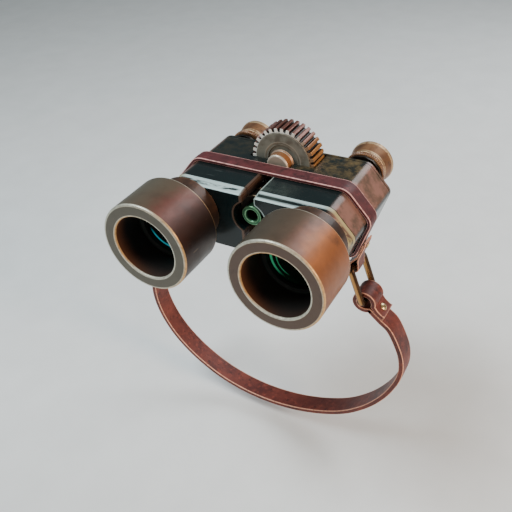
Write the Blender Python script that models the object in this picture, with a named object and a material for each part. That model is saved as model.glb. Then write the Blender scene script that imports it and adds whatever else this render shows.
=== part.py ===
"""Field binoculars with a geared focus wheel, a leather body belt and a hanging carry strap.

Metres, +Z up. +Y is the viewing direction reversed: the objectives face -Y and the eyepieces +Y.
The origin is the centre of the hinge tube's front face, and the hinge axis runs along Y through it.
"""

from math import asin, atan2, cos, hypot, pi, radians, sin

import bmesh
import bpy
from mathutils import Matrix, Vector

MM = 0.001
CLEAR = 0.3 * MM  # gap kept between pieces that touch

# Optics and barrels
BARREL_X = 35.0 * MM  # half the spacing of the two optical axes
BARREL_Z = -2.0 * MM
HOOD_FRONT, HOOD_BACK = -42.0 * MM, -15.1 * MM
HOOD_R, HOOD_BORE_R = 23.8 * MM, 17.1 * MM
BARREL_FLANGE_R, BARREL_R, BARREL_BORE_R = 19.6 * MM, 17.6 * MM, 16.0 * MM
HOOD_OVERLAP = 4.2 * MM  # how far the hood reaches back over the barrel
LENS_R = 15.6 * MM
EYE_Z = 1.4 * MM
EYE_TUBE_R, EYE_TUBE_BORE_R = 8.5 * MM, 7.2 * MM
CUP_FRONT, CUP_BACK = 60.5 * MM, 71.4 * MM
CUP_R, CUP_RIM_R = 10.6 * MM, 12.1 * MM

# Prism housings
HOUSING_FRONT, HOUSING_BACK = -2.6 * MM, 50.4 * MM
HOUSING_TOP, HOUSING_BOTTOM = 13.3 * MM, -22.0 * MM
TOP_CORNER_X, SIDE_X, BOTTOM_CORNER_X = 42.0 * MM, 53.9 * MM, 46.0 * MM
SIDE_Z = -0.7 * MM
CORNER_RADII = (6.5 * MM, 4.5 * MM, 4.0 * MM)
GAP = 3.6 * MM  # half the slot between the two housings
CHANNEL_R = 9.1 * MM  # round channel for the hinge
COVER_DEPTH, BACK_COVER_DEPTH = 6.1 * MM, 2.4 * MM
COVER_BEVEL = 1.4 * MM
POCKET_X = 21.0 * MM
WALL = 2.2 * MM

# Hinge, focus wheel and bridge
TUBE_R, TUBE_BORE_R, TUBE_LENGTH = 4.8 * MM, 3.0 * MM, 24.0 * MM
WHEEL_Z = 13.0 * MM
WHEEL_FRONT, WHEEL_BACK = 34.3 * MM, 46.9 * MM
WHEEL_TIP_R, WHEEL_ROOT_R = 17.9 * MM, 15.8 * MM
WHEEL_TEETH = 32
HUB_R, HUB_FRONT = 5.9 * MM, 28.2 * MM
SPINDLE_R = 3.0 * MM
BRIDGE_FRONT, BRIDGE_LEAF = 54.0 * MM, 1.5 * MM
BRIDGE_BACK = BRIDGE_FRONT + 2 * BRIDGE_LEAF + CLEAR
BRIDGE_PIN_R = 1.5 * MM
KNUCKLE_R = 4.4 * MM

# Leather
BELT_FRONT, BELT_BACK = 17.2 * MM, 25.6 * MM
BELT_THICK = 1.8 * MM
LOOP_TOP_END = 0.2 * MM  # where each belt half stops above the slot
STRAP_FRONT, STRAP_BACK = 16.6 * MM, 28.6 * MM
STRAP_THICK = 2.8 * MM

# Ring links, seen along Y on the right side
WIRE_R = 1.65 * MM
RING_LENGTH, RING_WIDTH = 21.5 * MM, 16.0 * MM
RING_CORNER_R = 2.2 * MM
RING_LEAN = radians(18)
TAB_THICK, TAB_R, TAB_BORE_R = 1.6 * MM, 3.7 * MM, 2.1 * MM
TAB_START, TAB_REACH = 5.0 * MM, 29.4 * MM  # along the housing's lower side face
STRAP_LOOP_R, STRAP_LOOP_BORE_R = 6.4 * MM, 3.6 * MM
FLAP_LENGTH, FLAP_THICK = 13.2 * MM, 5.6 * MM
FLAP_ANGLE = radians(-42)

# The strap's route in millimetres, from the right flap round to the left one
STRAP_ROUTE = (
    (63.45, -59.3), (67.6, -64.7), (71.9, -73), (75, -82.5), (75.4, -93), (72.4, -104), (65.6, -117.5),
    (55, -131), (40.5, -143), (21, -152), (0, -157), (-22, -157.4), (-44, -152.4),
    (-62.5, -142.3), (-76.5, -129.5), (-85.6, -115), (-90, -100), (-89.8, -86.5), (-85, -75.6),
    (-77.4, -68), (-69.3, -62.9), (-63.45, -59.3),
)

bodies = {}


def clear_scene():
    for obj in list(bpy.data.objects):
        bpy.data.objects.remove(obj, do_unlink=True)


def material(name, colour, roughness, metallic=0.0):
    found = bpy.data.materials.get(name)
    if found:
        return found
    made = bpy.data.materials.new(name)
    made.use_nodes = True
    shader = made.node_tree.nodes["Principled BSDF"]
    shader.inputs["Base Color"].default_value = (*colour, 1.0)
    shader.inputs["Roughness"].default_value = roughness
    shader.inputs["Metallic"].default_value = metallic
    return made


FINISHES = {
    "hood_bronze": ((0.16, 0.085, 0.045), 0.45, 0.7),
    "barrel_brown": ((0.07, 0.035, 0.02), 0.5, 0.6),
    "housing_black": ((0.012, 0.02, 0.02), 0.2, 0.3),
    "cover_black": ((0.015, 0.025, 0.025), 0.25, 0.4),
    "steel": ((0.28, 0.27, 0.24), 0.4, 0.9),
    "copper": ((0.4, 0.2, 0.1), 0.4, 0.8),
    "green_anodised": ((0.03, 0.3, 0.12), 0.35, 0.6),
    "dark_metal": ((0.03, 0.025, 0.02), 0.5, 0.7),
    "brass": ((0.45, 0.3, 0.12), 0.35, 0.9),
    "belt_leather": ((0.13, 0.03, 0.025), 0.55, 0.0),
    "eyecup_tan": ((0.4, 0.22, 0.11), 0.5, 0.4),
    "coated_glass": ((0.02, 0.12, 0.08), 0.05, 0.0),
    "prism_glass": ((0.6, 0.7, 0.7), 0.05, 0.0),
}


def add_body(name, location):
    """The empty that a body's pieces hang from, standing on the body's joint axis."""
    empty = bpy.data.objects.new("body_" + name, None)
    empty.location = location
    bpy.context.scene.collection.objects.link(empty)
    bodies[name] = empty


def add_piece(name, body, finish, mesh, location=(0, 0, 0), rotation=None):
    """A named solid at a place given in the part's frame, parented to its body's empty."""
    obj = bpy.data.objects.new(name, mesh)
    bpy.context.scene.collection.objects.link(obj)
    obj.matrix_world = Matrix.Translation(location) @ (rotation or Matrix.Identity(4))
    if body:
        parent = bodies[body]
        obj.parent = parent
        obj.matrix_parent_inverse = Matrix.Translation(parent.location).inverted()
        mesh.materials.append(material(finish, *FINISHES[finish]))
    return obj


def finished_mesh(name, bm):
    bmesh.ops.recalc_face_normals(bm, faces=bm.faces)
    mesh = bpy.data.meshes.new(name)
    bm.to_mesh(mesh)
    bm.free()
    mesh.shade_smooth()
    mesh.set_sharp_from_angle(angle=radians(35))
    return mesh


def turned_mesh(name, profile, segments):
    """A closed profile of (radius, y) points turned about the Y axis; points at radius 0 are poles."""
    bm = bmesh.new()
    rings = []
    for radius, y in profile:
        if radius == 0:
            rings.append([bm.verts.new((0, y, 0))])
            continue
        angles = (2 * pi * i / segments for i in range(segments))
        rings.append([bm.verts.new((radius * cos(a), y, radius * sin(a))) for a in angles])
    for ring, following in zip(rings, rings[1:] + rings[:1]):
        if len(ring) == 1 and len(following) == 1:
            continue
        for i in range(segments):
            j = (i + 1) % segments
            near = [ring[i % len(ring)], ring[j % len(ring)]]
            far = [following[j % len(following)], following[i % len(following)]]
            bm.faces.new(list(dict.fromkeys(near + far)))
    return finished_mesh(name, bm)


def turned(name, body, finish, profile, x=0.0, z=0.0, segments=32):
    return add_piece(name, body, finish, turned_mesh(name, profile, segments), (x, 0, z))


def tube_profile(outer, inner, front, back, chamfer=0.0):
    """The section of a plain tube with chamfered outer edges."""
    return [
        (inner, front), (outer - chamfer, front), (outer, front + chamfer),
        (outer, back - chamfer), (outer - chamfer, back), (inner, back),
    ] if chamfer else [(inner, front), (outer, front), (outer, back), (inner, back)]


def lens_profile(radius, edge_front, edge_back, bulge, steps=3):
    """A biconvex lens: two shallow arcs joined by a plain edge."""
    angles = (i / steps * pi / 2 for i in range(steps + 1))
    front = [(radius * sin(a), edge_front - bulge * cos(a)) for a in angles]
    back = [(r, edge_back + (edge_front - y)) for r, y in reversed(front)]
    return front + back


def lofted_mesh(name, sections):
    """A solid through outlines of equal length, given as (y, [(x, z), ...])."""
    bm = bmesh.new()
    rings = [[bm.verts.new((x, y, z)) for x, z in outline] for y, outline in sections]
    count = len(rings[0])
    for ring, following in zip(rings, rings[1:]):
        for i in range(count):
            j = (i + 1) % count
            bm.faces.new((ring[i], ring[j], following[j], following[i]))
    bm.faces.new(rings[0])
    bm.faces.new(rings[-1])
    return finished_mesh(name, bm)


def extruded(name, body, finish, outline, front, back, location=(0, 0, 0)):
    return add_piece(name, body, finish, lofted_mesh(name, [(front, outline), (back, outline)]), location)


def cut(target, cutter_name, mesh, location=(0, 0, 0), rotation=None, operation="DIFFERENCE"):
    """Takes a hidden cutter out of the target, or joins it on."""
    cutter = add_piece(cutter_name, None, None, mesh, location, rotation)
    cutter.hide_render = True
    cutter.display_type = "WIRE"
    boolean = target.modifiers.new(cutter_name, "BOOLEAN")
    boolean.operation = operation
    boolean.solver = "EXACT"
    boolean.object = cutter


def bore(target, radius, front, back, x=0.0, z=0.0, segments=32):
    name = f"cut_{target.name}_{len(target.modifiers)}"
    profile = [(0, front), (radius, front), (radius, back), (0, back)]
    cut(target, name, turned_mesh(name, profile, segments), (x, 0, z))


def arc(centre, radius, start, end, steps):
    """Points along an arc in the XZ plane, with both ends."""
    angles = (start + (end - start) * i / steps for i in range(steps + 1))
    return [(centre[0] + radius * cos(a), centre[1] + radius * sin(a)) for a in angles]


def rounded_corner(before, corner, after, radius, steps=4):
    """The arc that rounds one corner of an outline."""
    a = (Vector(before) - Vector(corner)).normalized()
    b = (Vector(after) - Vector(corner)).normalized()
    half = a.angle(b) / 2
    centre = Vector(corner) + (a + b).normalized() * radius / sin(half)
    reach = radius * cos(half) / sin(half)
    first, last = Vector(corner) + a * reach, Vector(corner) + b * reach
    start = atan2(first.y - centre.y, first.x - centre.x)
    turn = (atan2(last.y - centre.y, last.x - centre.x) - start + pi) % (2 * pi) - pi
    return arc(centre, radius, start, start + turn, steps)


def housing_path(grow=0.0):
    """The right housing's outer line, from the slot at the top round to the slot at the bottom."""
    corners = [
        (GAP, HOUSING_TOP),
        (TOP_CORNER_X, HOUSING_TOP),
        (SIDE_X, SIDE_Z),
        (BOTTOM_CORNER_X, HOUSING_BOTTOM),
        (GAP, HOUSING_BOTTOM),
    ]
    path = [(GAP, HOUSING_TOP + grow)]
    for i, radius in enumerate(CORNER_RADII, 1):
        for x, z in rounded_corner(corners[i - 1], corners[i], corners[i + 1], radius):
            path.append((x, z))
    path.append((GAP, HOUSING_BOTTOM - grow))
    return path[:1] + offset_path(path, grow)[1:-1] + path[-1:]


def offset_path(path, distance):
    """The path moved to its left by a distance, point by point along its normals."""
    moved = []
    for i, (x, z) in enumerate(path):
        before, after = path[max(i - 1, 0)], path[min(i + 1, len(path) - 1)]
        dx, dz = after[0] - before[0], after[1] - before[1]
        length = hypot(dx, dz)
        moved.append((x - dz / length * distance, z + dx / length * distance))
    return moved


def ribbon_outline(path, thickness):
    """The closed outline of a band of that thickness along a path."""
    return offset_path(path, thickness / 2) + offset_path(path, -thickness / 2)[::-1]


def mirrored(points, side):
    return [(x * side, z) for x, z in points]


def smooth_route(points, steps=4):
    """A Catmull-Rom curve through the points."""
    route = []
    padded = [points[0], *points, points[-1]]
    for p0, p1, p2, p3 in zip(padded, padded[1:], padded[2:], padded[3:]):
        for i in range(steps):
            t = i / steps
            route.append(tuple(
                0.5 * (2 * b + (c - a) * t + (2 * a - 5 * b + 4 * c - d) * t**2 + (3 * b - a - 3 * c + d) * t**3)
                for a, b, c, d in zip(p0, p1, p2, p3)
            ))
    return route + [points[-1]]


def make_barrel(side, word, half):
    """Objective hood, barrel, lens and its retaining ring."""
    x = side * BARREL_X
    edge = 0.9 * MM
    step_y = HOOD_BACK - HOOD_OVERLAP
    hood = [
        (HOOD_BORE_R + edge, HOOD_FRONT),
        (HOOD_R - edge, HOOD_FRONT),
        (HOOD_R, HOOD_FRONT + edge),
        (HOOD_R, HOOD_BACK - edge / 2),
        (HOOD_R - edge / 2, HOOD_BACK),
        (BARREL_FLANGE_R + CLEAR, HOOD_BACK),
        (BARREL_FLANGE_R + CLEAR, step_y),
        (HOOD_BORE_R, step_y),
        (HOOD_BORE_R, HOOD_FRONT + edge),
    ]
    turned(f"{word}_objective_hood", half, "hood_bronze", hood, x, BARREL_Z, 48)
    front, flange, back = step_y + CLEAR, HOOD_BACK + 1.3 * MM, HOUSING_FRONT - CLEAR
    barrel = [
        (BARREL_BORE_R, front), (BARREL_FLANGE_R, front), (BARREL_FLANGE_R, flange),
        (BARREL_R, flange), (BARREL_R, back), (BARREL_BORE_R, back),
    ]
    turned(f"{word}_objective_barrel", half, "barrel_brown", barrel, x, BARREL_Z)
    lens = lens_profile(LENS_R, step_y - 1.4 * MM, step_y + 1.2 * MM, 1.1 * MM)
    turned(f"{word}_objective_lens", half, "coated_glass", lens, x, BARREL_Z, 24)
    ring = tube_profile(HOOD_BORE_R - CLEAR, LENS_R - 1.4 * MM, step_y - 4.6 * MM, step_y - 2.2 * MM)
    turned(f"{word}_lens_retaining_ring", half, "dark_metal", ring, x, BARREL_Z)


def make_housing(side, word, half):
    """Prism housing with its bevelled front cover and its rear cover."""
    outline = mirrored(housing_path(), side)
    inset = mirrored(housing_path(-COVER_BEVEL), side)
    joint_y = HOUSING_FRONT + COVER_DEPTH
    back_y = HOUSING_BACK - BACK_COVER_DEPTH
    shell = extruded(f"{word}_prism_housing", half, "housing_black", outline, joint_y + CLEAR, back_y - CLEAR)
    pocket = pocket_outline(side)
    cut(shell, f"cut_pocket_{word}", lofted_mesh("pocket", [(joint_y - MM, pocket), (back_y + MM, pocket)]))
    front = lofted_mesh(f"{word}_front_cover", [(HOUSING_FRONT, inset), (joint_y, outline)])
    front = add_piece(f"{word}_front_cover", half, "cover_black", front)
    bore(front, BARREL_BORE_R - 2 * MM, HOUSING_FRONT - MM, joint_y + MM, side * BARREL_X, BARREL_Z)
    edge = mirrored(housing_path(-0.8 * MM), side)
    sections = [(back_y, outline), (HOUSING_BACK - 0.8 * MM, outline), (HOUSING_BACK, edge)]
    back = add_piece(f"{word}_rear_cover", half, "cover_black", lofted_mesh(f"{word}_rear_cover", sections))
    bore(back, EYE_TUBE_R + CLEAR, back_y - MM, HOUSING_BACK + MM, side * BARREL_X, EYE_Z)
    for piece in (shell, front, back):
        bore(piece, CHANNEL_R, HOUSING_FRONT - MM, HOUSING_BACK + MM)
    bore(shell, HUB_R + 1.2 * MM, HUB_FRONT - 1.6 * MM, WHEEL_FRONT, z=WHEEL_Z)
    bore(shell, WHEEL_TIP_R + 0.9 * MM, WHEEL_FRONT - MM, back_y + MM, z=WHEEL_Z, segments=48)
    bore(back, SPINDLE_R + 1.4 * MM, back_y - MM, HOUSING_BACK + MM, z=WHEEL_Z)


def pocket_outline(side):
    """The prism pocket, one wall inside the housing's outline."""
    inner = [(x, z) for x, z in housing_path(-WALL) if x > POCKET_X]
    return mirrored([(POCKET_X, HOUSING_TOP - WALL), *inner, (POCKET_X, HOUSING_BOTTOM + WALL)], side)


def make_prisms(side, word, half):
    """The two roof prisms that stand on the light path inside the housing."""
    x = side * BARREL_X
    for name, front, back, slope in (("front", 6, 24, 5), ("rear", 26, 39.5, -4)):
        low, high = -12.5 * MM, 7 * MM
        width, tip = 7.5 * MM, slope * MM
        section = [(x - width, low), (x + width, low), (x + width, high), (x - width, high)]
        shifted = [(px, pz + (tip if pz == low else -tip) * 0.5) for px, pz in section]
        mesh = lofted_mesh(f"{word}_{name}_prism", [(front * MM, section), (back * MM, shifted)])
        add_piece(f"{word}_{name}_prism", half, "prism_glass", mesh)


def make_eyepiece(side, word, slider, ocular):
    """Sliding eyepiece tube, focus collar, eyecup and eye lens."""
    x = side * BARREL_X
    tube = tube_profile(EYE_TUBE_R, EYE_TUBE_BORE_R, 44 * MM, BRIDGE_BACK + 2.6 * MM)
    turned(f"{word}_eyepiece_tube", slider, "dark_metal", tube, x, EYE_Z, 24)
    collar = tube_profile(CUP_R + 0.6 * MM, EYE_TUBE_R + CLEAR, BRIDGE_BACK + CLEAR, CUP_FRONT - CLEAR, 0.5 * MM)
    name = "right_dioptre_ring" if side > 0 else "left_eyepiece_collar"
    turned(name, ocular, "eyecup_tan", collar, x, EYE_Z)
    cup = [
        (EYE_TUBE_BORE_R + 0.8 * MM, CUP_FRONT),
        (CUP_R, CUP_FRONT),
        (CUP_RIM_R, CUP_BACK - 0.8 * MM),
        (CUP_RIM_R - 0.8 * MM, CUP_BACK),
        (CUP_RIM_R - 1.8 * MM, CUP_BACK),
        (EYE_TUBE_BORE_R + 0.8 * MM, CUP_FRONT + 5 * MM),
    ]
    turned(f"{word}_eyecup", ocular, "eyecup_tan", cup, x, EYE_Z)
    lens = lens_profile(EYE_TUBE_BORE_R + 0.3 * MM, CUP_FRONT + 1.4 * MM, CUP_FRONT + 3.2 * MM, 0.7 * MM)
    turned(f"{word}_eye_lens", ocular, "coated_glass", lens, x, EYE_Z, 20)


def link_outline(first, first_r, second, second_r, half_width, steps=12):
    """Two round eyes joined by a straight web, as one outline."""
    run = atan2(second[1] - first[1], second[0] - first[0])
    outline = []
    for centre, radius, facing in ((first, first_r, run), (second, second_r, run + pi)):
        opening = asin(half_width / radius)
        outline += arc(centre, radius, facing + opening, facing + 2 * pi - opening, steps)
    return outline


def make_bridge(side, word, slider, front):
    """One bridge arm from the centre knuckle to the ring round the eyepiece tube."""
    eye = (side * BARREL_X, EYE_Z)
    outline = link_outline((0, 0), KNUCKLE_R, eye, EYE_TUBE_R + 2 * MM, 3.2 * MM)
    back = front + BRIDGE_LEAF
    arm = extruded(f"{word}_bridge_arm", slider, "dark_metal", outline, front, back)
    bore(arm, EYE_TUBE_R + CLEAR, front - MM, back + MM, *eye)
    bore(arm, BRIDGE_PIN_R + CLEAR, front - MM, back + MM, segments=16)


def make_centre():
    """Hinge tube with its lugs, focus wheel, spindle, and the bridge that carries the eyepieces."""
    tube = tube_profile(TUBE_R, TUBE_BORE_R, 0, TUBE_LENGTH, 0.4 * MM)
    turned("hinge_tube", "left_half", "green_anodised", tube)
    plug = [(0, 15 * MM), (TUBE_BORE_R - CLEAR, 15 * MM), (TUBE_BORE_R - CLEAR, TUBE_LENGTH), (0, TUBE_LENGTH)]
    turned("hinge_tube_plug", "left_half", "dark_metal", plug, segments=16)
    for word, front, back in (("left", 5, 12), ("right", 12.4, 19.4)):
        lug = tube_profile(CHANNEL_R - CLEAR, TUBE_R + 0.2 * MM, front * MM, back * MM)
        turned(f"{word}_hinge_lug", f"{word}_half", "dark_metal", lug, segments=16)
    make_wheel()
    spindle = [(0, WHEEL_FRONT + 0.5 * MM), (SPINDLE_R, WHEEL_FRONT + 0.5 * MM), (SPINDLE_R, 62 * MM), (0, 62 * MM)]
    turned("focus_spindle", "focus_wheel", "steel", spindle, z=WHEEL_Z, segments=20)
    bush = tube_profile(SPINDLE_R + 1.1 * MM, SPINDLE_R + 0.2 * MM, 48.2 * MM, 50.2 * MM)
    turned("spindle_bush", "left_half", "brass", bush, z=WHEEL_Z, segments=20)
    make_bridge(-1, "left", "left_eyepiece", BRIDGE_FRONT)
    make_bridge(1, "right", "right_eyepiece", BRIDGE_FRONT + BRIDGE_LEAF + CLEAR)
    front = BRIDGE_FRONT + 2 * (BRIDGE_LEAF + CLEAR)
    back = front + BRIDGE_LEAF
    outline = link_outline((0, 0), KNUCKLE_R, (0, WHEEL_Z), 5.4 * MM, 2.8 * MM, 15)
    bracket = extruded("focus_bracket", "left_eyepiece", "dark_metal", outline, front, back)
    bore(bracket, SPINDLE_R + 0.2 * MM, front - MM, back + MM, z=WHEEL_Z, segments=20)
    bore(bracket, BRIDGE_PIN_R + CLEAR, front - MM, back + MM, segments=16)
    head = back + CLEAR
    pin = [
        (0, BRIDGE_FRONT), (BRIDGE_PIN_R, BRIDGE_FRONT), (BRIDGE_PIN_R, head),
        (3.2 * MM, head), (3.2 * MM, head + 1.2 * MM), (0, head + 1.7 * MM),
    ]
    turned("bridge_pin", "left_eyepiece", "steel", pin, segments=16)


def make_wheel():
    """Focus wheel with straight gear teeth, and the hub in front of it."""
    outline = []
    pitch = 2 * pi / WHEEL_TEETH
    tooth_radii = (WHEEL_ROOT_R, WHEEL_TIP_R, WHEEL_TIP_R, WHEEL_ROOT_R)
    for tooth in range(WHEEL_TEETH):
        angle = tooth * pitch
        for offset, radius in zip((-0.3, -0.2, 0.2, 0.3), tooth_radii):
            a = angle + offset * pitch
            outline.append((radius * cos(a), radius * sin(a)))
    wheel = extruded("focus_gear", "focus_wheel", "copper", outline, WHEEL_FRONT, WHEEL_BACK, (0, 0, WHEEL_Z))
    bore(wheel, SPINDLE_R + CLEAR, WHEEL_FRONT - MM, WHEEL_BACK + MM, z=WHEEL_Z, segments=20)
    groove = tube_profile(8.4 * MM, HUB_R + 0.2 * MM, WHEEL_FRONT - MM, WHEEL_FRONT + 1.2 * MM)
    cut(wheel, "cut_face_groove", turned_mesh("groove", groove, 32), (0, 0, WHEEL_Z))
    back = WHEEL_FRONT - CLEAR
    hub = [(0, HUB_FRONT), (HUB_R - 0.5 * MM, HUB_FRONT), (HUB_R, HUB_FRONT + 0.5 * MM), (HUB_R, back), (0, back)]
    turned("focus_hub", "focus_wheel", "steel", hub, z=WHEEL_Z)


def make_belt(side, word, half):
    """One half of the leather belt that is wrapped round both housings."""
    path = housing_path(CLEAR + BELT_THICK / 2)
    top_z, bottom_z = path[0][1], path[-1][1]
    path = [(LOOP_TOP_END, top_z), *path[1:-1], (GAP, bottom_z)]
    outline = mirrored(ribbon_outline(path, BELT_THICK), side)
    extruded(f"{word}_belt_half", half, "belt_leather", outline, BELT_FRONT, BELT_BACK)


def side_face():
    """Foot, direction and outward normal of the housing's lower side face, on the right."""
    run = Vector((BOTTOM_CORNER_X - SIDE_X, HOUSING_BOTTOM - SIDE_Z)).normalized()
    return Vector((SIDE_X, SIDE_Z)), run, Vector((-run.y, run.x))


def ring_pivot():
    """Centre of the ring link's top bar, on the right, as (x, z)."""
    foot, run, normal = side_face()
    return foot + run * TAB_REACH + normal * (CLEAR * 2 + BELT_THICK + TAB_THICK / 2)


def ring_foot():
    """Centre of the ring link's bottom bar, on the right, as (x, z)."""
    return ring_pivot() + Vector((sin(RING_LEAN), -cos(RING_LEAN))) * RING_LENGTH


def loop_piece(name, body, centre, direction, side, sizes, front, back):
    """A leather loop seen along Y: a strip that ends in an eye. sizes = reach, thickness, radius, bore."""
    reach, thickness, radius, hole = sizes
    half = thickness / 2
    open_angle = asin(half / radius)
    run = atan2(direction.y, direction.x)
    eye = arc(centre, radius, run + open_angle, run + 2 * pi - open_angle, 14)
    across = Vector((-direction.y, direction.x)) * half
    end = Vector(centre) + direction * reach
    outline = mirrored([*eye, tuple(end - across), tuple(end + across)], side)
    piece = extruded(name, body, "belt_leather", outline, front, back)
    bore(piece, hole, front - MM, back + MM, side * centre[0], centre[1], 16)
    return piece


def link_mesh(name, side):
    """The oblong wire ring, in the plane of Y and its leaning long axis."""
    down = Vector((sin(RING_LEAN) * side, 0, -cos(RING_LEAN)))
    across = Vector((0, 1, 0))
    normal = down.cross(across)
    w, n, corner = RING_WIDTH / 2, RING_LENGTH, RING_CORNER_R
    corners = ((w - corner, corner, -90, 0), (w - corner, n - corner, 0, 90),
               (corner - w, n - corner, 90, 180), (corner - w, corner, 180, 270))
    path = []
    for u, v, start, end in corners:
        path += link_corner(u, v, corner, start, end)
    bm = bmesh.new()
    rings = []
    for u, v, angle in path:
        out = across * cos(angle) + down * sin(angle)
        centre = across * u + down * v
        section = (2 * pi * i / 8 for i in range(8))
        rings.append([bm.verts.new(centre + (out * cos(a) + normal * sin(a)) * WIRE_R) for a in section])
    for ring, following in zip(rings, rings[1:] + rings[:1]):
        for i in range(8):
            j = (i + 1) % 8
            bm.faces.new((ring[i], ring[j], following[j], following[i]))
    return finished_mesh(name, bm)


def link_corner(u, v, radius, start, end, steps=4):
    """Points (u, v, outward angle) round one corner of the ring link."""
    angles = (radians(start + (end - start) * i / steps) for i in range(steps + 1))
    return [(u + radius * cos(a), v + radius * sin(a), a) for a in angles]


def make_side_fittings(side, word, half):
    """Belt tab with its rivet, ring link, and the strap's end loop with its rivet."""
    foot, run, normal = side_face()
    belt_y, strap_y = (BELT_FRONT + BELT_BACK) / 2, (STRAP_FRONT + STRAP_BACK) / 2
    pivot, bar = ring_pivot(), ring_foot()
    sizes = (TAB_REACH - TAB_START, TAB_THICK, TAB_R, TAB_BORE_R)
    tab = loop_piece(f"{word}_belt_tab", half, pivot, -run, side, sizes, BELT_FRONT, BELT_BACK)
    spot = pivot - run * 14 * MM
    place = (side * spot.x, belt_y, spot.y)
    place_rivet(f"{word}_tab_rivet", half, tab, place, normal, side, TAB_THICK)
    ring = f"{word}_ring_link"
    add_piece(ring, f"{word}_ring", "brass", link_mesh(ring, side), (side * pivot.x, strap_y, pivot.y))
    along = Vector((cos(FLAP_ANGLE), sin(FLAP_ANGLE)))
    slack = STRAP_LOOP_BORE_R - WIRE_R - 1.6 * MM
    eye = bar + Vector((0, -1)) * slack
    sizes = (FLAP_LENGTH, FLAP_THICK, STRAP_LOOP_R, STRAP_LOOP_BORE_R)
    loop = loop_piece(f"{word}_strap_loop", half, eye, along, side, sizes, STRAP_FRONT, STRAP_BACK)
    across = Vector((-along.y, along.x))
    spot = eye + along * 9.2 * MM
    place = (side * spot.x, strap_y, spot.y)
    place_rivet(f"{word}_strap_rivet", half, loop, place, across, side, FLAP_THICK)


def place_rivet(name, body, leather, place, outward, side, thickness):
    """A round-headed rivet through the leather, with its drilled hole."""
    hole_r, head_r, head = 0.9 * MM, 1.9 * MM, 0.9 * MM
    top = thickness / 2 + CLEAR
    profile = [
        (0, -thickness / 2), (0.6 * MM, -thickness / 2), (0.6 * MM, top), (head_r, top),
        (head_r, top + head / 2), (head_r - 0.6 * MM, top + head), (0, top + head),
    ]
    direction = Vector((outward.x * side, 0, outward.y))
    turn = Vector((0, 1, 0)).rotation_difference(direction).to_matrix().to_4x4()
    drill = turned_mesh("drill", [(0, -thickness), (hole_r, -thickness), (hole_r, thickness), (0, thickness)], 8)
    cut(leather, f"drill_{name}", drill, place, turn)
    add_piece(name, body, "brass", turned_mesh(name, profile, 12), place, turn)


def make_screws(side, word, half):
    """Rear cover screws, sunk into the cover's face line with a clear gap."""
    for number, (x, z) in enumerate(((24, -17), (46, -8)), 1):
        front = HOUSING_BACK + CLEAR
        top = front + 0.9 * MM
        profile = [(0, front), (1.7 * MM, front), (1.7 * MM, front + 0.5 * MM), (1.2 * MM, top), (0, top)]
        turned(f"{word}_cover_screw_{number}", half, "steel", profile, side * x * MM, z * MM, 12)


def make_strap():
    """The carry strap, one flat band that hangs between the two strap loops."""
    points = [(x * MM, z * MM) for x, z in STRAP_ROUTE]
    outline = ribbon_outline(smooth_route(points), STRAP_THICK)
    extruded("carry_strap", "left_half", "belt_leather", outline, STRAP_FRONT, STRAP_BACK)


def main():
    clear_scene()
    pivot = ring_pivot()
    strap_y = (STRAP_FRONT + STRAP_BACK) / 2
    add_body("left_half", (0, 0, 0))
    add_body("right_half", (0, 0, 0))
    add_body("focus_wheel", (0, 0, WHEEL_Z))
    for side, word in ((-1, "left"), (1, "right")):
        add_body(f"{word}_eyepiece", (side * BARREL_X, BRIDGE_BACK, EYE_Z))
        add_body(f"{word}_ring", (side * pivot.x, strap_y, pivot.y))
    add_body("right_dioptre", (BARREL_X, CUP_FRONT, EYE_Z))
    for side, word in ((-1, "left"), (1, "right")):
        half = f"{word}_half"
        make_barrel(side, word, half)
        make_housing(side, word, half)
        make_prisms(side, word, half)
        make_eyepiece(side, word, f"{word}_eyepiece", "right_dioptre" if side > 0 else "left_eyepiece")
        make_belt(side, word, half)
        make_side_fittings(side, word, half)
        make_screws(side, word, half)
    make_centre()
    make_strap()


main()
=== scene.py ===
"""Looks of the field binoculars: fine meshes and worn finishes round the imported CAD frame.

+Z is up. The objectives face -Y, the eyepieces +Y, and the hinge axis runs along Y through the origin.
Shapes and masks are worked out in millimetres. finished() turns a mesh into metres, which Blender and
the frame use, and so do the camera, the lights, the bump and the calls to the frame.
"""

from math import asin, atan2, cos, hypot, pi, radians, sin

import bmesh
import bpy
from mathutils import Matrix, Vector


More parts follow.
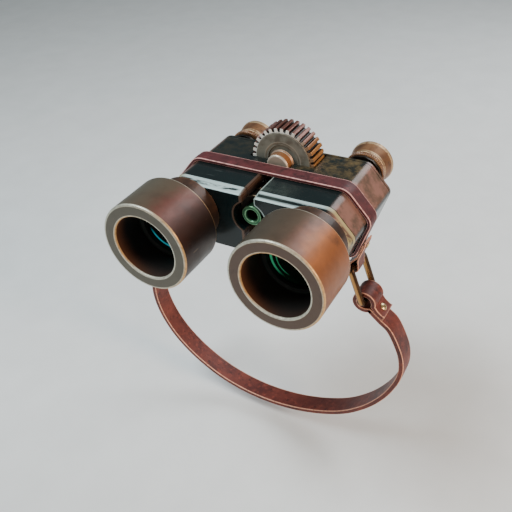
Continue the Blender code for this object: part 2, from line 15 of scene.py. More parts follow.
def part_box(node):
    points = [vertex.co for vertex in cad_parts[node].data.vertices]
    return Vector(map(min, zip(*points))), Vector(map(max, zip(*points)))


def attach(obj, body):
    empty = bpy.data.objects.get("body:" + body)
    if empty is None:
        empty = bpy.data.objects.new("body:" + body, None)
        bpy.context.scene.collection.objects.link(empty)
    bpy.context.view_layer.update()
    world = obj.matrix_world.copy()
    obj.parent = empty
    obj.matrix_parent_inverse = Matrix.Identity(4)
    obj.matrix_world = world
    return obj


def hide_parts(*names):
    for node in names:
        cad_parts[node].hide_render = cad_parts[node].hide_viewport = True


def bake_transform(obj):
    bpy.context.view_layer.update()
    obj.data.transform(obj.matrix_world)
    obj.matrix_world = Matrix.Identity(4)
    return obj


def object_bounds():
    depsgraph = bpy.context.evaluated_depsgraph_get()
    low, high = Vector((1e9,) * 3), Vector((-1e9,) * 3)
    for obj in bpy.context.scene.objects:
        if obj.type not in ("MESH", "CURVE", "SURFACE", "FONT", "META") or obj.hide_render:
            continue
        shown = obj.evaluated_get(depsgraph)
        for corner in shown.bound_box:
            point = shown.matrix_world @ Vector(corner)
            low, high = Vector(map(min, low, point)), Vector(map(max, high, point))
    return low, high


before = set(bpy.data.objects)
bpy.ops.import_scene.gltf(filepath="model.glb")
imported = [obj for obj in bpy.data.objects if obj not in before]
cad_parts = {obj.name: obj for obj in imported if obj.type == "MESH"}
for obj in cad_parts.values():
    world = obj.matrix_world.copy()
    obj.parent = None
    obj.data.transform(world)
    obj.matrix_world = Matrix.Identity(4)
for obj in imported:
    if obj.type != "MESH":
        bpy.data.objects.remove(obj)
cad_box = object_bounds()

MM = 0.001
SIDES = ((-1, "left"), (1, "right"))


def box(node):
    """The low and high corners of a CAD node, in millimetres."""
    low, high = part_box(node)
    return Vector(low) / MM, Vector(high) / MM


def span(node):
    """The front, the back and the radius of a CAD node that is round about Y."""
    low, high = box(node)
    return low.y, high.y, (high.x - low.x) / 2


def front_back(node):
    """The front and the back of a CAD node."""
    return span(node)[:2]


# Sizes that the pieces share, in millimetres, from the frame's own boxes where a node has them
BARREL_X = 35.0
BARREL_Z = -2.0
EYE_Z = 1.4
WHEEL_Z = 13.0
HOOD_FRONT, HOOD_BACK, HOOD_R = span("right_objective_hood")
HOOD_BORE_R = 17.1
BARREL_R, TUBE_R = 19.6, 17.6
HOUSING_FRONT, COVER_BACK = front_back("right_front_cover")
REAR_COVER_FRONT, HOUSING_BACK = front_back("right_rear_cover")
GAP, _, BOTTOM_Z = box("right_prism_housing")[0]
TOP_Z = box("right_prism_housing")[1].z
SIDE_X = 53.9
SIDE_Z = -0.7
TOP_CORNER_X, BOTTOM_CORNER_X = 42.0, 46.0
CORNER_RADII = (6.5, 4.5, 4.0)
CHANNEL_R = 9.1
COVER_BEVEL = 1.4
LENS_SAG, EYE_LENS_SAG = 1.1, 0.7
GROOVE_Y = 50.6  # where the groove round each eyepiece tube starts
TEETH = 32
TOOTH_OUTLINE = (  # share of the pitch, radius
    (-0.34, 15.9), (-0.32, 16.3), (-0.26, 17.75), (-0.22, 17.9),
    (0.22, 17.9), (0.26, 17.75), (0.32, 16.3), (0.34, 15.9),
)
BELT_FRONT, BELT_BACK = front_back("right_belt_half")
BELT_Y = (BELT_FRONT + BELT_BACK) / 2
BELT_THICK = 1.8
CLEAR = 0.3
STRAP_FRONT, STRAP_BACK = front_back("carry_strap")
STRAP_Y = (STRAP_FRONT + STRAP_BACK) / 2
STRAP_THICK = 2.8
WIRE_R = 1.749
RING_LENGTH, RING_WIDTH, RING_CORNER_R = 21.5, 16.0, 2.2
RING_LEAN = radians(18)
TAB_REACH, TAB_THICK, TAB_LAYER, TAB_WRAP_R = 29.4, 1.6, 0.85, 2.95
FLAP_LENGTH, HALF_FLAP = 13.2, 1.4  # HALF_FLAP is from the flap's mid plane to the middle of a layer
LOOP_R, LOOP_LAYER = 5.15, 2.5
TAB_RIVET_AT, STRAP_RIVET_AT = 14, 9.2  # from the ring's bar, along the tab and along the flap
FLAP_ANGLE = radians(-42)

# The strap's route, from the right flap round to the left one
STRAP_ROUTE = (
    (63.45, -59.3), (67.6, -64.7), (71.9, -73), (75, -82.5), (75.4, -93), (72.4, -104), (65.6, -117.5),
    (55, -131), (40.5, -143), (21, -152), (0, -157), (-22, -157.4), (-44, -152.4),
    (-62.5, -142.3), (-76.5, -129.5), (-85.6, -115), (-90, -100), (-89.8, -86.5), (-85, -75.6),
    (-77.4, -68), (-69.3, -62.9), (-63.45, -59.3),
)


def placed(name, data):
    """A new object in the scene."""
    obj = bpy.data.objects.new(name, data)
    bpy.context.scene.collection.objects.link(obj)
    return obj


# ---- camera, light, floor

def make_camera():
    """The camera at the photograph's angle: a little above, from the front right."""
    azimuth, elevation, roll = radians(32.471), radians(36.499), radians(-5.124)
    target = Vector((27.25, -42.0, 12.42)) * MM
    distance = 279.05 * MM
    back = Vector((sin(azimuth) * cos(elevation), -cos(azimuth) * cos(elevation), sin(elevation)))
    right = Vector((cos(azimuth), sin(azimuth), 0))
    up = back.cross(right)
    turned_right = right * cos(roll) + up * sin(roll)
    turned_up = up * cos(roll) - right * sin(roll)
    matrix = Matrix((turned_right, turned_up, back)).transposed().to_4x4()
    matrix.translation = target + back * distance
    data = bpy.data.cameras.new("camera")
    data.sensor_width = 36
    data.lens = 46.74136
    data.clip_start = 0.01
    camera = placed("camera", data)
    camera.matrix_world = matrix
    bpy.context.scene.camera = camera


def area_light(name, place, size, power, colour):
    data = bpy.data.lights.new(name, "AREA")
    data.shape = "DISK"
    data.size = size
    data.energy = power
    data.color = colour
    light = placed(name, data)
    light.location = place
    light.rotation_euler = (Vector((0, 0, -0.02)) - Vector(place)).to_track_quat("-Z", "Y").to_euler()


def make_studio():
    world = bpy.data.worlds.new("studio")
    world.use_nodes = True
    background = world.node_tree.nodes["Background"]
    background.inputs["Color"].default_value = (0.78, 0.86, 0.88, 1)
    background.inputs["Strength"].default_value = 0.24
    bpy.context.scene.world = world
    area_light("cool_top", (-0.35, -0.25, 0.75), 0.4, 8.0, (0.86, 0.95, 1.0))
    area_light("warm_right", (0.75, -0.1, 0.25), 0.3, 5.0, (1.0, 0.72, 0.5))
    area_light("front_fill", (0.1, -0.9, 0.2), 0.5, 1.2, (1.0, 0.93, 0.85))
    area_light("rear_rim", (0.25, 0.7, 0.5), 0.5, 4.5, (0.95, 0.97, 1.0))
    mesh = bpy.data.meshes.new("floor")
    reach = 6.0
    corners = [(-reach, -reach, 0), (reach, -reach, 0), (reach, reach, 0), (-reach, reach, 0)]
    mesh.from_pydata(corners, [], [(0, 1, 2, 3)])
    floor = placed("floor", mesh)
    floor.location.z = cad_box[0][2] - 8 * MM
    pale = Shade("floor_pale", rough=0.8)
    pale.colour(pale.ramp(pale.noise(3, 3), (0.3, (0.8, 0.83, 0.83)), (0.7, (0.85, 0.88, 0.88))))
    mesh.materials.append(pale.material)


# ---- materials

class Shade:
    """A Principled material, with short calls for the nodes that give it its detail."""

    def __init__(self, name, rough=0.5, metal=0.0, coat=0.0, ior=1.5, sheen=0.0, specular=0.5):
        self.material = bpy.data.materials.new(name)
        self.material.use_nodes = True
        self.tree = self.material.node_tree
        self.shader = self.tree.nodes["Principled BSDF"]
        settings = {"Roughness": rough, "Metallic": metal, "IOR": ior, "Specular IOR Level": specular,
                    "Coat Weight": coat, "Coat Roughness": 0.12,
                    "Sheen Weight": sheen, "Sheen Roughness": 0.4}
        for key, value in settings.items():
            self.shader.inputs[key].default_value = value
        coordinates = self.node("TexCoord")
        self.place = coordinates.outputs["Object"]
        self.facing = coordinates.outputs["Normal"]
        inputs = {"Vector": self.place, "Scale": 1 / MM}
        self.millimetres = self.node("VectorMath", inputs, operation="SCALE").outputs[0]

    def node(self, kind, inputs=(), **settings):
        made = self.tree.nodes.new("ShaderNode" + kind)
        for key, value in settings.items():
            setattr(made, key, value)
        for key, value in dict(inputs).items():
            self.put(made.inputs[key], value)
        return made

    def put(self, socket, value):
        if isinstance(value, bpy.types.NodeSocket):
            self.tree.links.new(value, socket)
        elif isinstance(value, tuple) and len(value) == 3 and socket.type == "RGBA":
            socket.default_value = (*value, 1)
        else:
            socket.default_value = value

    def noise(self, scale, detail=5.0, rough=0.55, stretch=(1, 1, 1), shift=0.0):
        """Fractal noise from 0 to 1. scale counts features in 100 mm."""
        vector = self.place
        if stretch != (1, 1, 1) or shift:
            inputs = {"Vector": vector, "Scale": stretch, "Location": (shift, shift * 0.7, shift * 0.3)}
            vector = self.node("Mapping", inputs).outputs[0]
        inputs = {"Vector": vector, "Scale": scale * 10.0, "Detail": detail, "Roughness": rough}
        return self.node("TexNoise", inputs).outputs["Fac"]

    def cells(self, scale):
        return self.node("TexVoronoi", {"Vector": self.place, "Scale": scale * 10.0}).outputs["Distance"]

    def math(self, operation, a, b=0.0):
        return self.node("Math", {0: a, 1: b}, operation=operation).outputs[0]

    def step(self, value, low, high):
        """0 below low, 1 above high, smooth between. With low above high it falls instead."""
        inputs = {"Value": value, "From Min": min(low, high), "From Max": max(low, high)}
        inputs["To Min"], inputs["To Max"] = (0.0, 1.0) if low < high else (1.0, 0.0)
        return self.node("MapRange", inputs, interpolation_type="SMOOTHSTEP").outputs[0]

    def both(self, *masks):
        result = masks[0]
        for mask in masks[1:]:
            result = self.math("MULTIPLY", result, mask)
        return result

    def either(self, *masks):
        result = masks[0]
        for mask in masks[1:]:
            result = self.math("MAXIMUM", result, mask)
        return result

    def axis(self, letter, vector=None):
        return self.node("SeparateXYZ", {0: vector or self.millimetres}).outputs[letter]

    def spots(self, low, high, *noise, **settings):
        """Blotches: a step of noise."""
        return self.step(self.noise(*noise, **settings), low, high)

    def faces(self, letter, low, high):
        """A step of how far the surface faces along an axis."""
        return self.step(self.axis(letter, self.facing), low, high)

    def minus(self, a, b):
        return self.math("SUBTRACT", a, b)

    def band(self, value, start, full, fading, end):
        """1 from full to fading, 0 before start and after end."""
        return self.both(self.step(value, start, full), self.step(value, end, fading))

    def line(self, value, centre, reach, full):
        """1 within full of the centre, 0 beyond reach."""
        return self.step(self.math("ABSOLUTE", self.minus(value, centre)), reach, full)

    def radius(self, x=0.0, z=0.0):
        """Distance from a line along Y through (x, z)."""
        dx, dz = self.minus(self.axis("X"), x), self.minus(self.axis("Z"), z)
        return self.math("SQRT", self.math("ADD", self.both(dx, dx), self.both(dz, dz)))

    def ramp(self, value, *stops):
        made = self.node("ValToRGB", {0: value})
        elements = made.color_ramp.elements
        while len(elements) < len(stops):
            elements.new(0.5)
        for element, (position, colour) in zip(elements, stops):
            element.position = position
            element.color = (*colour, 1) if isinstance(colour, tuple) else (colour, colour, colour, 1)
        return made.outputs["Color"]

    def mix(self, factor, a, b):
        return self.node("Mix", {0: factor, 6: a, 7: b}, data_type="RGBA").outputs[2]

    def between(self, factor, a, b):
        """A plain number from a to b, by a factor from 0 to 1."""
        return self.node("Mix", {0: factor, 2: a, 3: b}, data_type="FLOAT").outputs[0]

    def attribute(self, name):
        return self.node("Attribute", attribute_name=name).outputs["Fac"]

    def colour(self, value):
        self.put(self.shader.inputs["Base Color"], value)

    def rough(self, value):
        self.put(self.shader.inputs["Roughness"], value)

    def metal(self, value):
        self.put(self.shader.inputs["Metallic"], value)

    def bump(self, height, strength=0.3, distance=0.2):
        """distance in millimetres."""
        inputs = {"Height": height, "Strength": strength, "Distance": distance * MM}
        before = self.shader.inputs["Normal"]
        if before.is_linked:
            inputs["Normal"] = before.links[0].from_socket
        self.put(before, self.node("Bump", inputs).outputs[0])


def grime(shade, base, low=0.35, high=0.75):
    """Darkens a colour in broad blotches, as old coatings are."""
    return shade.mix(shade.spots(high, low, 6, 6, 0.6, shift=0.13), base, (0.035, 0.022, 0.015))


def scratches(shade, scale=60, along=(1, 0.06, 1), cover=0.66):
    """Fine hairline marks, long where along is small."""
    fine = shade.noise(scale, 3, 0.6, along, shift=0.4)
    patches = shade.noise(9, 2, 0.5, shift=0.9)
    return shade.both(shade.step(fine, cover, cover + 0.06), shade.step(patches, 0.42, 0.62))


def hood_finish(side):
    """Bronze brown cup, painted lit and shaded by facing: olive top left, copper right; rims worn pale."""
    s = Shade(f"hood_bronze_{side}", coat=0.04)
    radius = s.radius(side * BARREL_X, BARREL_Z)
    patches = s.minus(s.noise(3.2, 5, 0.55), 0.5)
    # painted light and shade: turned rises where a face looks right and down, and the tones below follow it
    right, top = s.axis("X", s.facing), s.axis("Z", s.facing)
    turned = s.math("ADD", right, s.math("MULTIPLY", top, -0.4))
    turned = s.step(s.math("ADD", turned, s.math("MULTIPLY", patches, 1.3)), -1.0, 1.15)
    # left cup: olive at the top left to red brown, then painted shade, nearly black, at the lower right
    if side < 0:
        face = (0.105, 0.092, 0.066)
        tones = ((0.0, (0.105, 0.09, 0.062)), (0.36, (0.1, 0.068, 0.045)), (0.6, (0.125, 0.04, 0.027)),
                 (0.8, (0.05, 0.017, 0.011)), (1.0, (0.022, 0.009, 0.006)))
    # right cup: painted warm light, bright orange, where it faces right
    else:
        face = (0.1, 0.06, 0.041)
        tones = ((0.0, (0.07, 0.055, 0.036)), (0.34, (0.095, 0.062, 0.04)), (0.56, (0.15, 0.06, 0.034)),
                 (0.78, (0.36, 0.122, 0.036)), (1.0, (0.2, 0.07, 0.022)))
    outside = s.ramp(turned, *tones)
    front = s.mix(s.noise(14, 6, 0.6), face, tuple(c * 0.7 for c in face))
    cloud = s.both(s.spots(0.42, 0.68, 9, 8, 0.66, shift=0.35), 0.5)
    outside = s.mix(cloud, outside, s.mix(0.45, outside, (0.02, 0.012, 0.008)))
    is_front = s.both(s.faces("Y", -0.6, -0.9), s.step(radius, HOOD_BORE_R - 1, HOOD_BORE_R))
    skin = s.mix(is_front, outside, front)
    # the bore: rust orange near the mouth, most on its left wall, and painted shade, nearly black, deeper in
    inside = s.step(radius, HOOD_BORE_R + 0.25, HOOD_BORE_R - 0.05)
    depth = s.step(s.axis("Y"), HOOD_FRONT + 10, HOOD_FRONT)
    warm_side = s.step(s.axis("X"), side * BARREL_X + 4, side * BARREL_X - 15)
    rust = s.mix(s.both(depth, s.between(warm_side, 0.25, 1.0)),
                 (0.004, 0.003, 0.003), (0.1, 0.03, 0.009))
    skin = s.mix(inside, skin, rust)
    speck = s.spots(0.3, 0.6, 55, 4, 0.65)
    near_front = s.step(s.axis("Y"), HOOD_FRONT + 1.25, HOOD_FRONT + 0.85)
    outer = s.both(near_front, s.step(radius, HOOD_R - 1.35, HOOD_R - 0.85))
    inner = s.both(near_front, s.step(radius, HOOD_BORE_R + 1.1, HOOD_BORE_R + 0.75))
    back = s.step(s.axis("Y"), HOOD_BACK - 0.75, HOOD_BACK - 0.45)
    back = s.both(back, s.step(radius, HOOD_R - 1.0, HOOD_R - 0.6), 0.7)
    wear = s.both(s.either(outer, inner, back), s.between(speck, 0.6, 1.0))
    # the worn metal is tinted orange where it faces right: painted warm light on the wear
    bare = s.mix(s.step(turned, 0.35, 0.8), (0.6, 0.58, 0.47), (0.62, 0.38, 0.17))
    marks = s.both(scratches(s, 70, (1, 0.1, 1)), 0.22, s.step(inside, 0.6, 0.2))
    s.colour(s.mix(wear, s.mix(marks, grime(s, skin, 0.2, 0.42), (0.3, 0.2, 0.12)), bare))
    s.metal(s.between(wear, 0.3, 0.6))
    s.rough(s.between(inside, s.between(s.noise(22, 5, 0.6), 0.32, 0.55), 0.7))
    s.bump(s.noise(120, 3, 0.6), 0.12, 0.1)
    s.bump(s.noise(18, 4, 0.5), 0.12, 0.3)
    return s.material


def housing_finish(side):
    """Glossy black lacquer with a teal cast. The front bevel is worn pale and the rear top is mottled."""
    s = Shade(f"housing_black_{side}", coat=0.12, ior=1.42, specular=0.35)
    x = s.math("MULTIPLY", s.axis("X"), float(side))
    y, z = s.axis("Y"), s.axis("Z")
    blotch = s.noise(12, 9, 0.68, shift=0.21)
    base = s.mix(s.noise(4, 4), (0.003, 0.006, 0.0065), (0.007, 0.016, 0.017))
    up = s.faces("Z", 0.2, 0.55)
    rearward = s.step(y, 20, 40)
    strength = 0.12 if side < 0 else 0.62
    mottled = s.both(s.step(blotch, 0.36, 0.56), rearward, up, s.step(x, -2, 14), strength)
    olive = s.mix(s.spots(0.35, 0.68, 26, 7, 0.7), (0.03, 0.024, 0.014), (0.23, 0.155, 0.062))
    skin = s.mix(mottled, base, olive)
    cloud = s.spots(0.3, 0.7, 14, 7, 0.65, shift=0.8)
    haze = s.both(up, s.step(y, 18, 6), s.step(x, 26, 6), cloud, 0.5)
    skin = s.mix(haze, skin, (0.006, 0.02, 0.02) if side < 0 else (0.09, 0.115, 0.095))
    flank = s.both(s.step(x, TOP_CORNER_X - 2.5, TOP_CORNER_X + 1.5), s.step(z, -1.5, 1))
    pink = s.mix(s.step(blotch, 0.4, 0.62), (0.27, 0.135, 0.105), (0.12, 0.072, 0.05))
    skin = s.mix(s.both(flank, 0.85), skin, pink)
    inner = s.step(x, GAP + 0.35, GAP + 0.1)
    skin = s.mix(inner, skin, (0.07, 0.038, 0.026) if side < 0 else (0.02, 0.02, 0.018))
    ring = s.radius()
    # the front bevel is rubbed pale: a bright line along both its edges, flecks of lacquer between them
    tilted = s.both(s.faces("Y", -0.85, -0.6), s.step(x, GAP + 0.4, GAP + 0.9))
    start, stop = HOUSING_FRONT, COVER_BACK
    front_line = s.band(y, start + 0.05, start + 0.35, start + 1.2, start + 2.0)
    back_line = s.band(y, stop - 2.1, stop - 1.3, stop - 0.2, stop + 0.5)
    within = s.band(y, start + 0.4, start + 0.9, stop - 0.8, stop)
    middle = s.band(y, start + 1.5, start + 2.5, stop - 2.4, stop - 1.6)
    cover = (0.47, 0.56) if side < 0 else (0.4, 0.5)
    flecks = s.both(middle, s.step(s.noise(22, 5, 0.6, (0.22, 1, 1), shift=0.55), *cover))
    broken = s.spots(0.2, 0.45, 60, 4, 0.6)
    fill = s.both(within, 0.85 if side < 0 else 0.6, s.minus(1.0, flecks))
    edges = s.both(s.either(front_line, s.both(back_line, 0.85)), s.between(broken, 0.75, 1.0))
    low_side = s.step(z, -9, -1)
    off_mouth = s.step(ring, CHANNEL_R + 0.4, CHANNEL_R + 1.1)
    band = s.both(s.either(fill, edges), tilted, off_mouth, s.between(low_side, 0.2, 1.0))
    pale = s.mix(s.step(x, 37, 44), (0.66, 0.84, 0.83), (0.52, 0.44, 0.22))
    # worn lips of the slot and of the channel's mouth
    lip = 1.3 if side < 0 else 0.5
    on_front = s.step(y, HOUSING_FRONT + 0.8, HOUSING_FRONT + 0.4)
    mouth = s.both(s.step(ring, CHANNEL_R + 0.85, CHANNEL_R + 0.45), on_front)
    slot_edge = s.step(x, GAP + lip + 0.2, GAP + lip - 0.1)
    slot_edge = s.both(slot_edge, s.either(s.step(z, TOP_Z - 1.6, TOP_Z - 1.2), on_front))
    rear = s.step(y, HOUSING_BACK - 0.9, HOUSING_BACK - 0.4)
    rear = s.both(rear, s.faces("Y", 0.97, 0.8), broken, 0.6)
    seams = (COVER_BACK + CLEAR / 2, REAR_COVER_FRONT - CLEAR / 2)
    seam = s.either(*(s.line(y, place, 0.3, 0.15) for place in seams))
    lines = s.both(s.either(mouth, slot_edge), s.between(broken, 0.45, 0.85))
    line_colour = (0.13, 0.078, 0.054) if side < 0 else (0.42, 0.52, 0.48)
    skin = s.mix(band, skin, pale)
    skin = s.mix(lines, skin, line_colour)
    skin = s.mix(rear, skin, (0.33, 0.26, 0.12))
    marks = s.both(scratches(s, 60, (0.08, 1, 1), 0.64), up, 0.2)
    skin = s.mix(marks, skin, (0.2, 0.24, 0.22))
    skin = s.mix(s.both(seam, 0.8), skin, (0.004, 0.004, 0.004))
    s.colour(skin)
    bare = s.either(band, lines, s.both(mottled, 0.5))
    s.metal(s.both(bare, 0.45))
    gloss = s.between(s.noise(16, 6, 0.65), 0.13, 0.34)
    s.rough(s.between(s.either(bare, s.both(flank, 0.6)), gloss, 0.46))
    s.bump(s.noise(45, 5, 0.6), 0.06, 0.2)
    s.bump(bare, 0.15, 0.12)
    return s.material


def brown_finish():
    """Dark brown barrel with rust in its grooves."""
    s = Shade("barrel_brown", coat=0.1)
    patches = s.noise(12, 7, 0.62)
    base = s.ramp(patches, (0.3, (0.022, 0.013, 0.009)), (0.55, (0.06, 0.028, 0.016)),
                  (0.75, (0.13, 0.055, 0.025)))
    wear = s.both(s.attribute("edge"), s.spots(0.35, 0.6, 60, 4), 0.7)
    s.colour(s.mix(wear, base, (0.34, 0.19, 0.1)))
    s.metal(0.4)
    s.rough(s.between(patches, 0.34, 0.6))
    s.bump(s.noise(90, 4), 0.2, 0.15)
    return s.material


def metal_finish(name, dark, light, edge_colour, rough=(0.25, 0.5), metallic=0.85, scale=20, specular=0.5):
    """Aged metal: two tones in patches, lighter where an edge has rubbed."""
    s = Shade(name, specular=specular)
    patches = s.noise(scale, 6, 0.6)
    base = s.ramp(patches, (0.32, dark), (0.68, light))
    wear = s.both(s.attribute("edge"), s.spots(0.3, 0.58, 70, 4))
    s.colour(s.mix(wear, base, edge_colour))
    s.metal(metallic)
    s.rough(s.between(s.noise(35, 4), *rough))
    s.bump(s.noise(110, 3), 0.12, 0.1)
    return s.material


def leather_finish(name, dark, light, pale):
    """Vegetable tanned leather: mottled, creased and grained, with rubbed pale cut edges."""
    s = Shade(name, sheen=0.04, specular=0.36)
    broad = s.noise(7, 7, 0.62)
    middle = tuple((a + b) / 2 for a, b in zip(dark, light))
    bright, deep = tuple(c * 1.5 for c in light), tuple(c * 0.35 for c in dark)
    base = s.ramp(broad, (0.28, dark), (0.52, middle), (0.76, light))
    base = s.mix(s.both(s.spots(0.5, 0.7, 30, 7, 0.7, shift=0.3), 0.6), base, bright)
    base = s.mix(s.both(s.spots(0.48, 0.3, 26, 7, 0.7, shift=0.7), 0.8), base, deep)
    rubbed = s.between(s.spots(0.3, 0.55, 60, 4, 0.6), 0.5, 1.0)
    edge = s.both(s.step(s.attribute("edge"), 0.3, 0.8), rubbed, 0.95)
    s.colour(s.mix(edge, base, pale))
    s.rough(s.between(s.noise(40, 4), 0.42, 0.66))
    grain = s.cells(160)
    s.bump(grain, 0.22, 0.12)
    s.bump(s.noise(26, 6, 0.6, (1, 2.5, 1)), 0.25, 0.25)
    return s.material


def gear_finish():
    """Turned grey olive face, copper teeth, and painted light: cream fronts upper left, gold tips lower
    right.
    """
    s = Shade("gear_copper")
    radius = s.radius(0.0, WHEEL_Z)
    x, z = s.axis("X"), s.minus(s.axis("Z"), WHEEL_Z)
    front = s.faces("Y", -0.55, -0.85)
    outward = s.node("CombineXYZ", {"X": radius}).outputs[0]
    rings = s.node("TexNoise", {"Vector": outward, "Scale": 2.4, "Detail": 3.0}).outputs["Fac"]
    face = s.mix(rings, (0.16, 0.155, 0.122), (0.25, 0.242, 0.2))
    face = s.mix(s.both(s.spots(0.45, 0.66, 14, 6, 0.62), 0.7), face, (0.085, 0.068, 0.048))
    ridge = s.line(radius, 10.3, 0.55, 0.2)
    face = s.mix(s.both(ridge, 0.45), face, (0.42, 0.39, 0.32))
    # painted light: tooth fronts cream towards the upper left, brown towards the lower right
    lit_upper_left = s.step(s.minus(z, x), -6, 16)
    tooth_front = s.mix(lit_upper_left, (0.3, 0.17, 0.09), (0.95, 0.92, 0.82))
    on_tooth = s.step(radius, 15.5, 15.75)
    face = s.mix(on_tooth, face, tooth_front)
    # painted warm light: tooth tips gold towards the lower right
    golden = s.step(s.minus(x, z), -2, 12)
    tip = s.mix(golden, (0.19, 0.075, 0.055), (0.6, 0.27, 0.07))
    tip = s.mix(s.noise(26, 5, 0.6), tip, s.mix(golden, (0.1, 0.04, 0.03), (0.36, 0.15, 0.045)))
    flank = s.step(radius, 16.6, 17.7)
    teeth = s.mix(flank, (0.01, 0.006, 0.004), tip)
    skin = s.mix(front, teeth, face)
    wear = s.both(s.attribute("edge"), s.spots(0.3, 0.55, 70, 4), 0.35)
    s.colour(s.mix(wear, skin, (0.4, 0.35, 0.27)))
    s.metal(s.between(front, 0.5, 0.12))
    s.rough(s.between(s.noise(30, 5), 0.28, 0.5))
    s.bump(s.both(rings, front), 0.12, 0.12)
    s.bump(s.noise(80, 4), 0.12, 0.15)
    return s.material


def ring_finish():
    """Old bronze wire, nearly black, with a painted golden highlight along the front."""
    s = Shade("ring_bronze")
    base = s.ramp(s.noise(22, 6, 0.6), (0.3, (0.022, 0.011, 0.006)), (0.7, (0.08, 0.036, 0.014)))
    # painted highlight: golden in patches where the wire faces the front
    front = s.both(s.faces("Y", -0.72, -0.99), s.spots(0.2, 0.45, 16, 5))
    s.colour(s.mix(s.both(front, 0.75), base, (0.55, 0.29, 0.1)))
    s.metal(0.8)
    s.rough(s.between(s.noise(35, 4), 0.2, 0.36))
    s.bump(s.noise(60, 4), 0.15, 0.12)
    return s.material


def hub_finish():
    """Cream end face and an orange brown turned side, with painted warm light where the side faces right."""
    s = Shade("hub_copper")
    front = s.faces("Y", -0.5, -0.85)
    side = s.ramp(s.noise(16, 6, 0.6), (0.3, (0.2, 0.09, 0.045)), (0.7, (0.42, 0.22, 0.12)))
    # painted warm light: the side turns orange where it faces right
    lit = s.faces("X", -0.3, 0.8)
    side = s.mix(lit, side, (0.42, 0.17, 0.06))
    end = s.mix(s.noise(20, 5), (0.42, 0.36, 0.28), (0.52, 0.45, 0.36))
    wear = s.both(s.attribute("edge"), 0.7)
    s.colour(s.mix(wear, s.mix(front, side, end), (0.74, 0.66, 0.54)))
    s.metal(0.5)
    s.rough(s.between(s.noise(28, 4), 0.3, 0.5))
    s.bump(s.noise(70, 4), 0.12, 0.12)
    return s.material


def eyecup_finish():
    """Tan copper coating, rubbed golden on its rims."""
    s = Shade("eyecup_tan", coat=0.08)
    patches = s.noise(13, 7, 0.62)
    base = s.ramp(patches, (0.28, (0.085, 0.036, 0.015)), (0.5, (0.17, 0.078, 0.033)),
                  (0.74, (0.27, 0.14, 0.06)))
    base = s.mix(s.spots(0.58, 0.7, 40, 5, 0.6, shift=0.3), base, (0.08, 0.04, 0.02))
    wear = s.both(s.attribute("edge"), s.spots(0.28, 0.55, 60, 4), 0.8)
    s.colour(s.mix(wear, base, (0.66, 0.48, 0.28)))
    s.metal(s.between(wear, 0.3, 0.7))
    s.rough(s.between(s.noise(25, 5), 0.34, 0.58))
    s.bump(s.noise(70, 5, 0.6), 0.25, 0.15)
    return s.material


def glass_finish(name, x, z, glow_tint, glint, low_glow=False):
    """Deep coated lens: nearly black glass with a painted glint, a glowing coloured crescent near its left
    rim.

    low_glow puts the crescent at the bottom instead, with a wide spot in it.
    """
    s = Shade(name, rough=0.04, coat=0.6, ior=1.7)
    s.shader.inputs["Thin Film Thickness"].default_value = 480
    s.shader.inputs["Thin Film IOR"].default_value = 1.38
    radius = s.radius(x, z)
    left, low = s.minus(x, s.axis("X")), s.minus(z, s.axis("Z"))
    # painted glint: a coloured crescent near the lens rim, with a spot in it
    crescent = s.band(radius, 12.2, 12.9, 13.5, 14.1)
    if low_glow:
        crescent = s.both(crescent, s.step(low, 4, 9), 0.8)
        spot = s.step(s.radius(x + 1.5, z - 12), 5.5, 1.5)
    else:
        crescent = s.both(crescent, s.step(left, 4, 9), s.band(low, -9, -4, 6, 12))
        spot = s.both(s.band(radius, 9.6, 10.0, 10.2, 10.6), s.step(left, 3, 7), 0.6)
    crescent = s.either(crescent, spot)
    # painted glow: the glass turns coloured towards its rim, in patches
    glow = s.both(s.step(radius, 2, 15), s.spots(0.2, 0.8, 8, 3), 0.8)
    deep = s.mix(glow, (0.0015, 0.004, 0.003), glow_tint)
    s.colour(s.mix(crescent, deep, glint))
    # the painted glint also glows faintly
    s.put(s.shader.inputs["Emission Color"], s.mix(s.both(crescent, 0.6), (0, 0, 0), glint))
    s.shader.inputs["Emission Strength"].default_value = 0.6
    s.rough(s.between(s.noise(30, 3), 0.03, 0.09))
    s.bump(s.noise(12, 2), 0.02, 0.1)
    return s.material


def green_finish():
    """Green anodised tube, its bore darkened with painted shade and its rim rubbed lighter."""
    s = Shade("green_anodised", rough=0.3, metal=0.55)
    radius = s.radius()
    base = s.ramp(s.noise(24, 5), (0.3, (0.012, 0.05, 0.024)), (0.7, (0.03, 0.12, 0.055)))
    mouth = s.step(s.axis("Y"), 0.9, 0.5)
    rim = s.mix(s.noise(40, 4), (0.018, 0.08, 0.036), (0.04, 0.15, 0.07))
    skin = s.mix(mouth, base, rim)
    # painted shade: the bore darker
    skin = s.mix(s.step(radius, 3.3, 3.05), skin, (0.01, 0.035, 0.018))
    s.colour(s.mix(s.both(s.attribute("edge"), mouth, 0.85), skin, (0.2, 0.42, 0.22)))
    s.rough(s.between(s.noise(30, 4), 0.24, 0.42))
    s.bump(s.noise(90, 3), 0.1, 0.1)
    return s.material


def prism_finish():
    s = Shade("prism_glass", rough=0.05, ior=1.52)
    s.colour(s.mix(s.noise(10, 3), (0.5, 0.6, 0.6), (0.62, 0.7, 0.7)))
    s.rough(s.between(s.noise(30, 3), 0.04, 0.12))
    s.bump(s.noise(20, 2), 0.02, 0.1)
    return s.material


# ---- mesh tools

def finished(name, bm, finish, sharp=40):
    """A mesh object in metres with outward faces, smooth but for its sharp edges."""
    bmesh.ops.recalc_face_normals(bm, faces=bm.faces)
    bm.transform(Matrix.Scale(MM, 4))
    mesh = bpy.data.meshes.new(name)
    bm.to_mesh(mesh)
    bm.free()
    mesh.shade_smooth()
    mesh.set_sharp_from_angle(angle=radians(sharp))
    mesh.materials.append(finish)
    return placed(name, mesh)


def shown(obj, body, slot, *nodes):
    """The piece rides on a body and stands for CAD nodes."""
    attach(obj, body)
    if nodes:
        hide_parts(*nodes)
    return obj


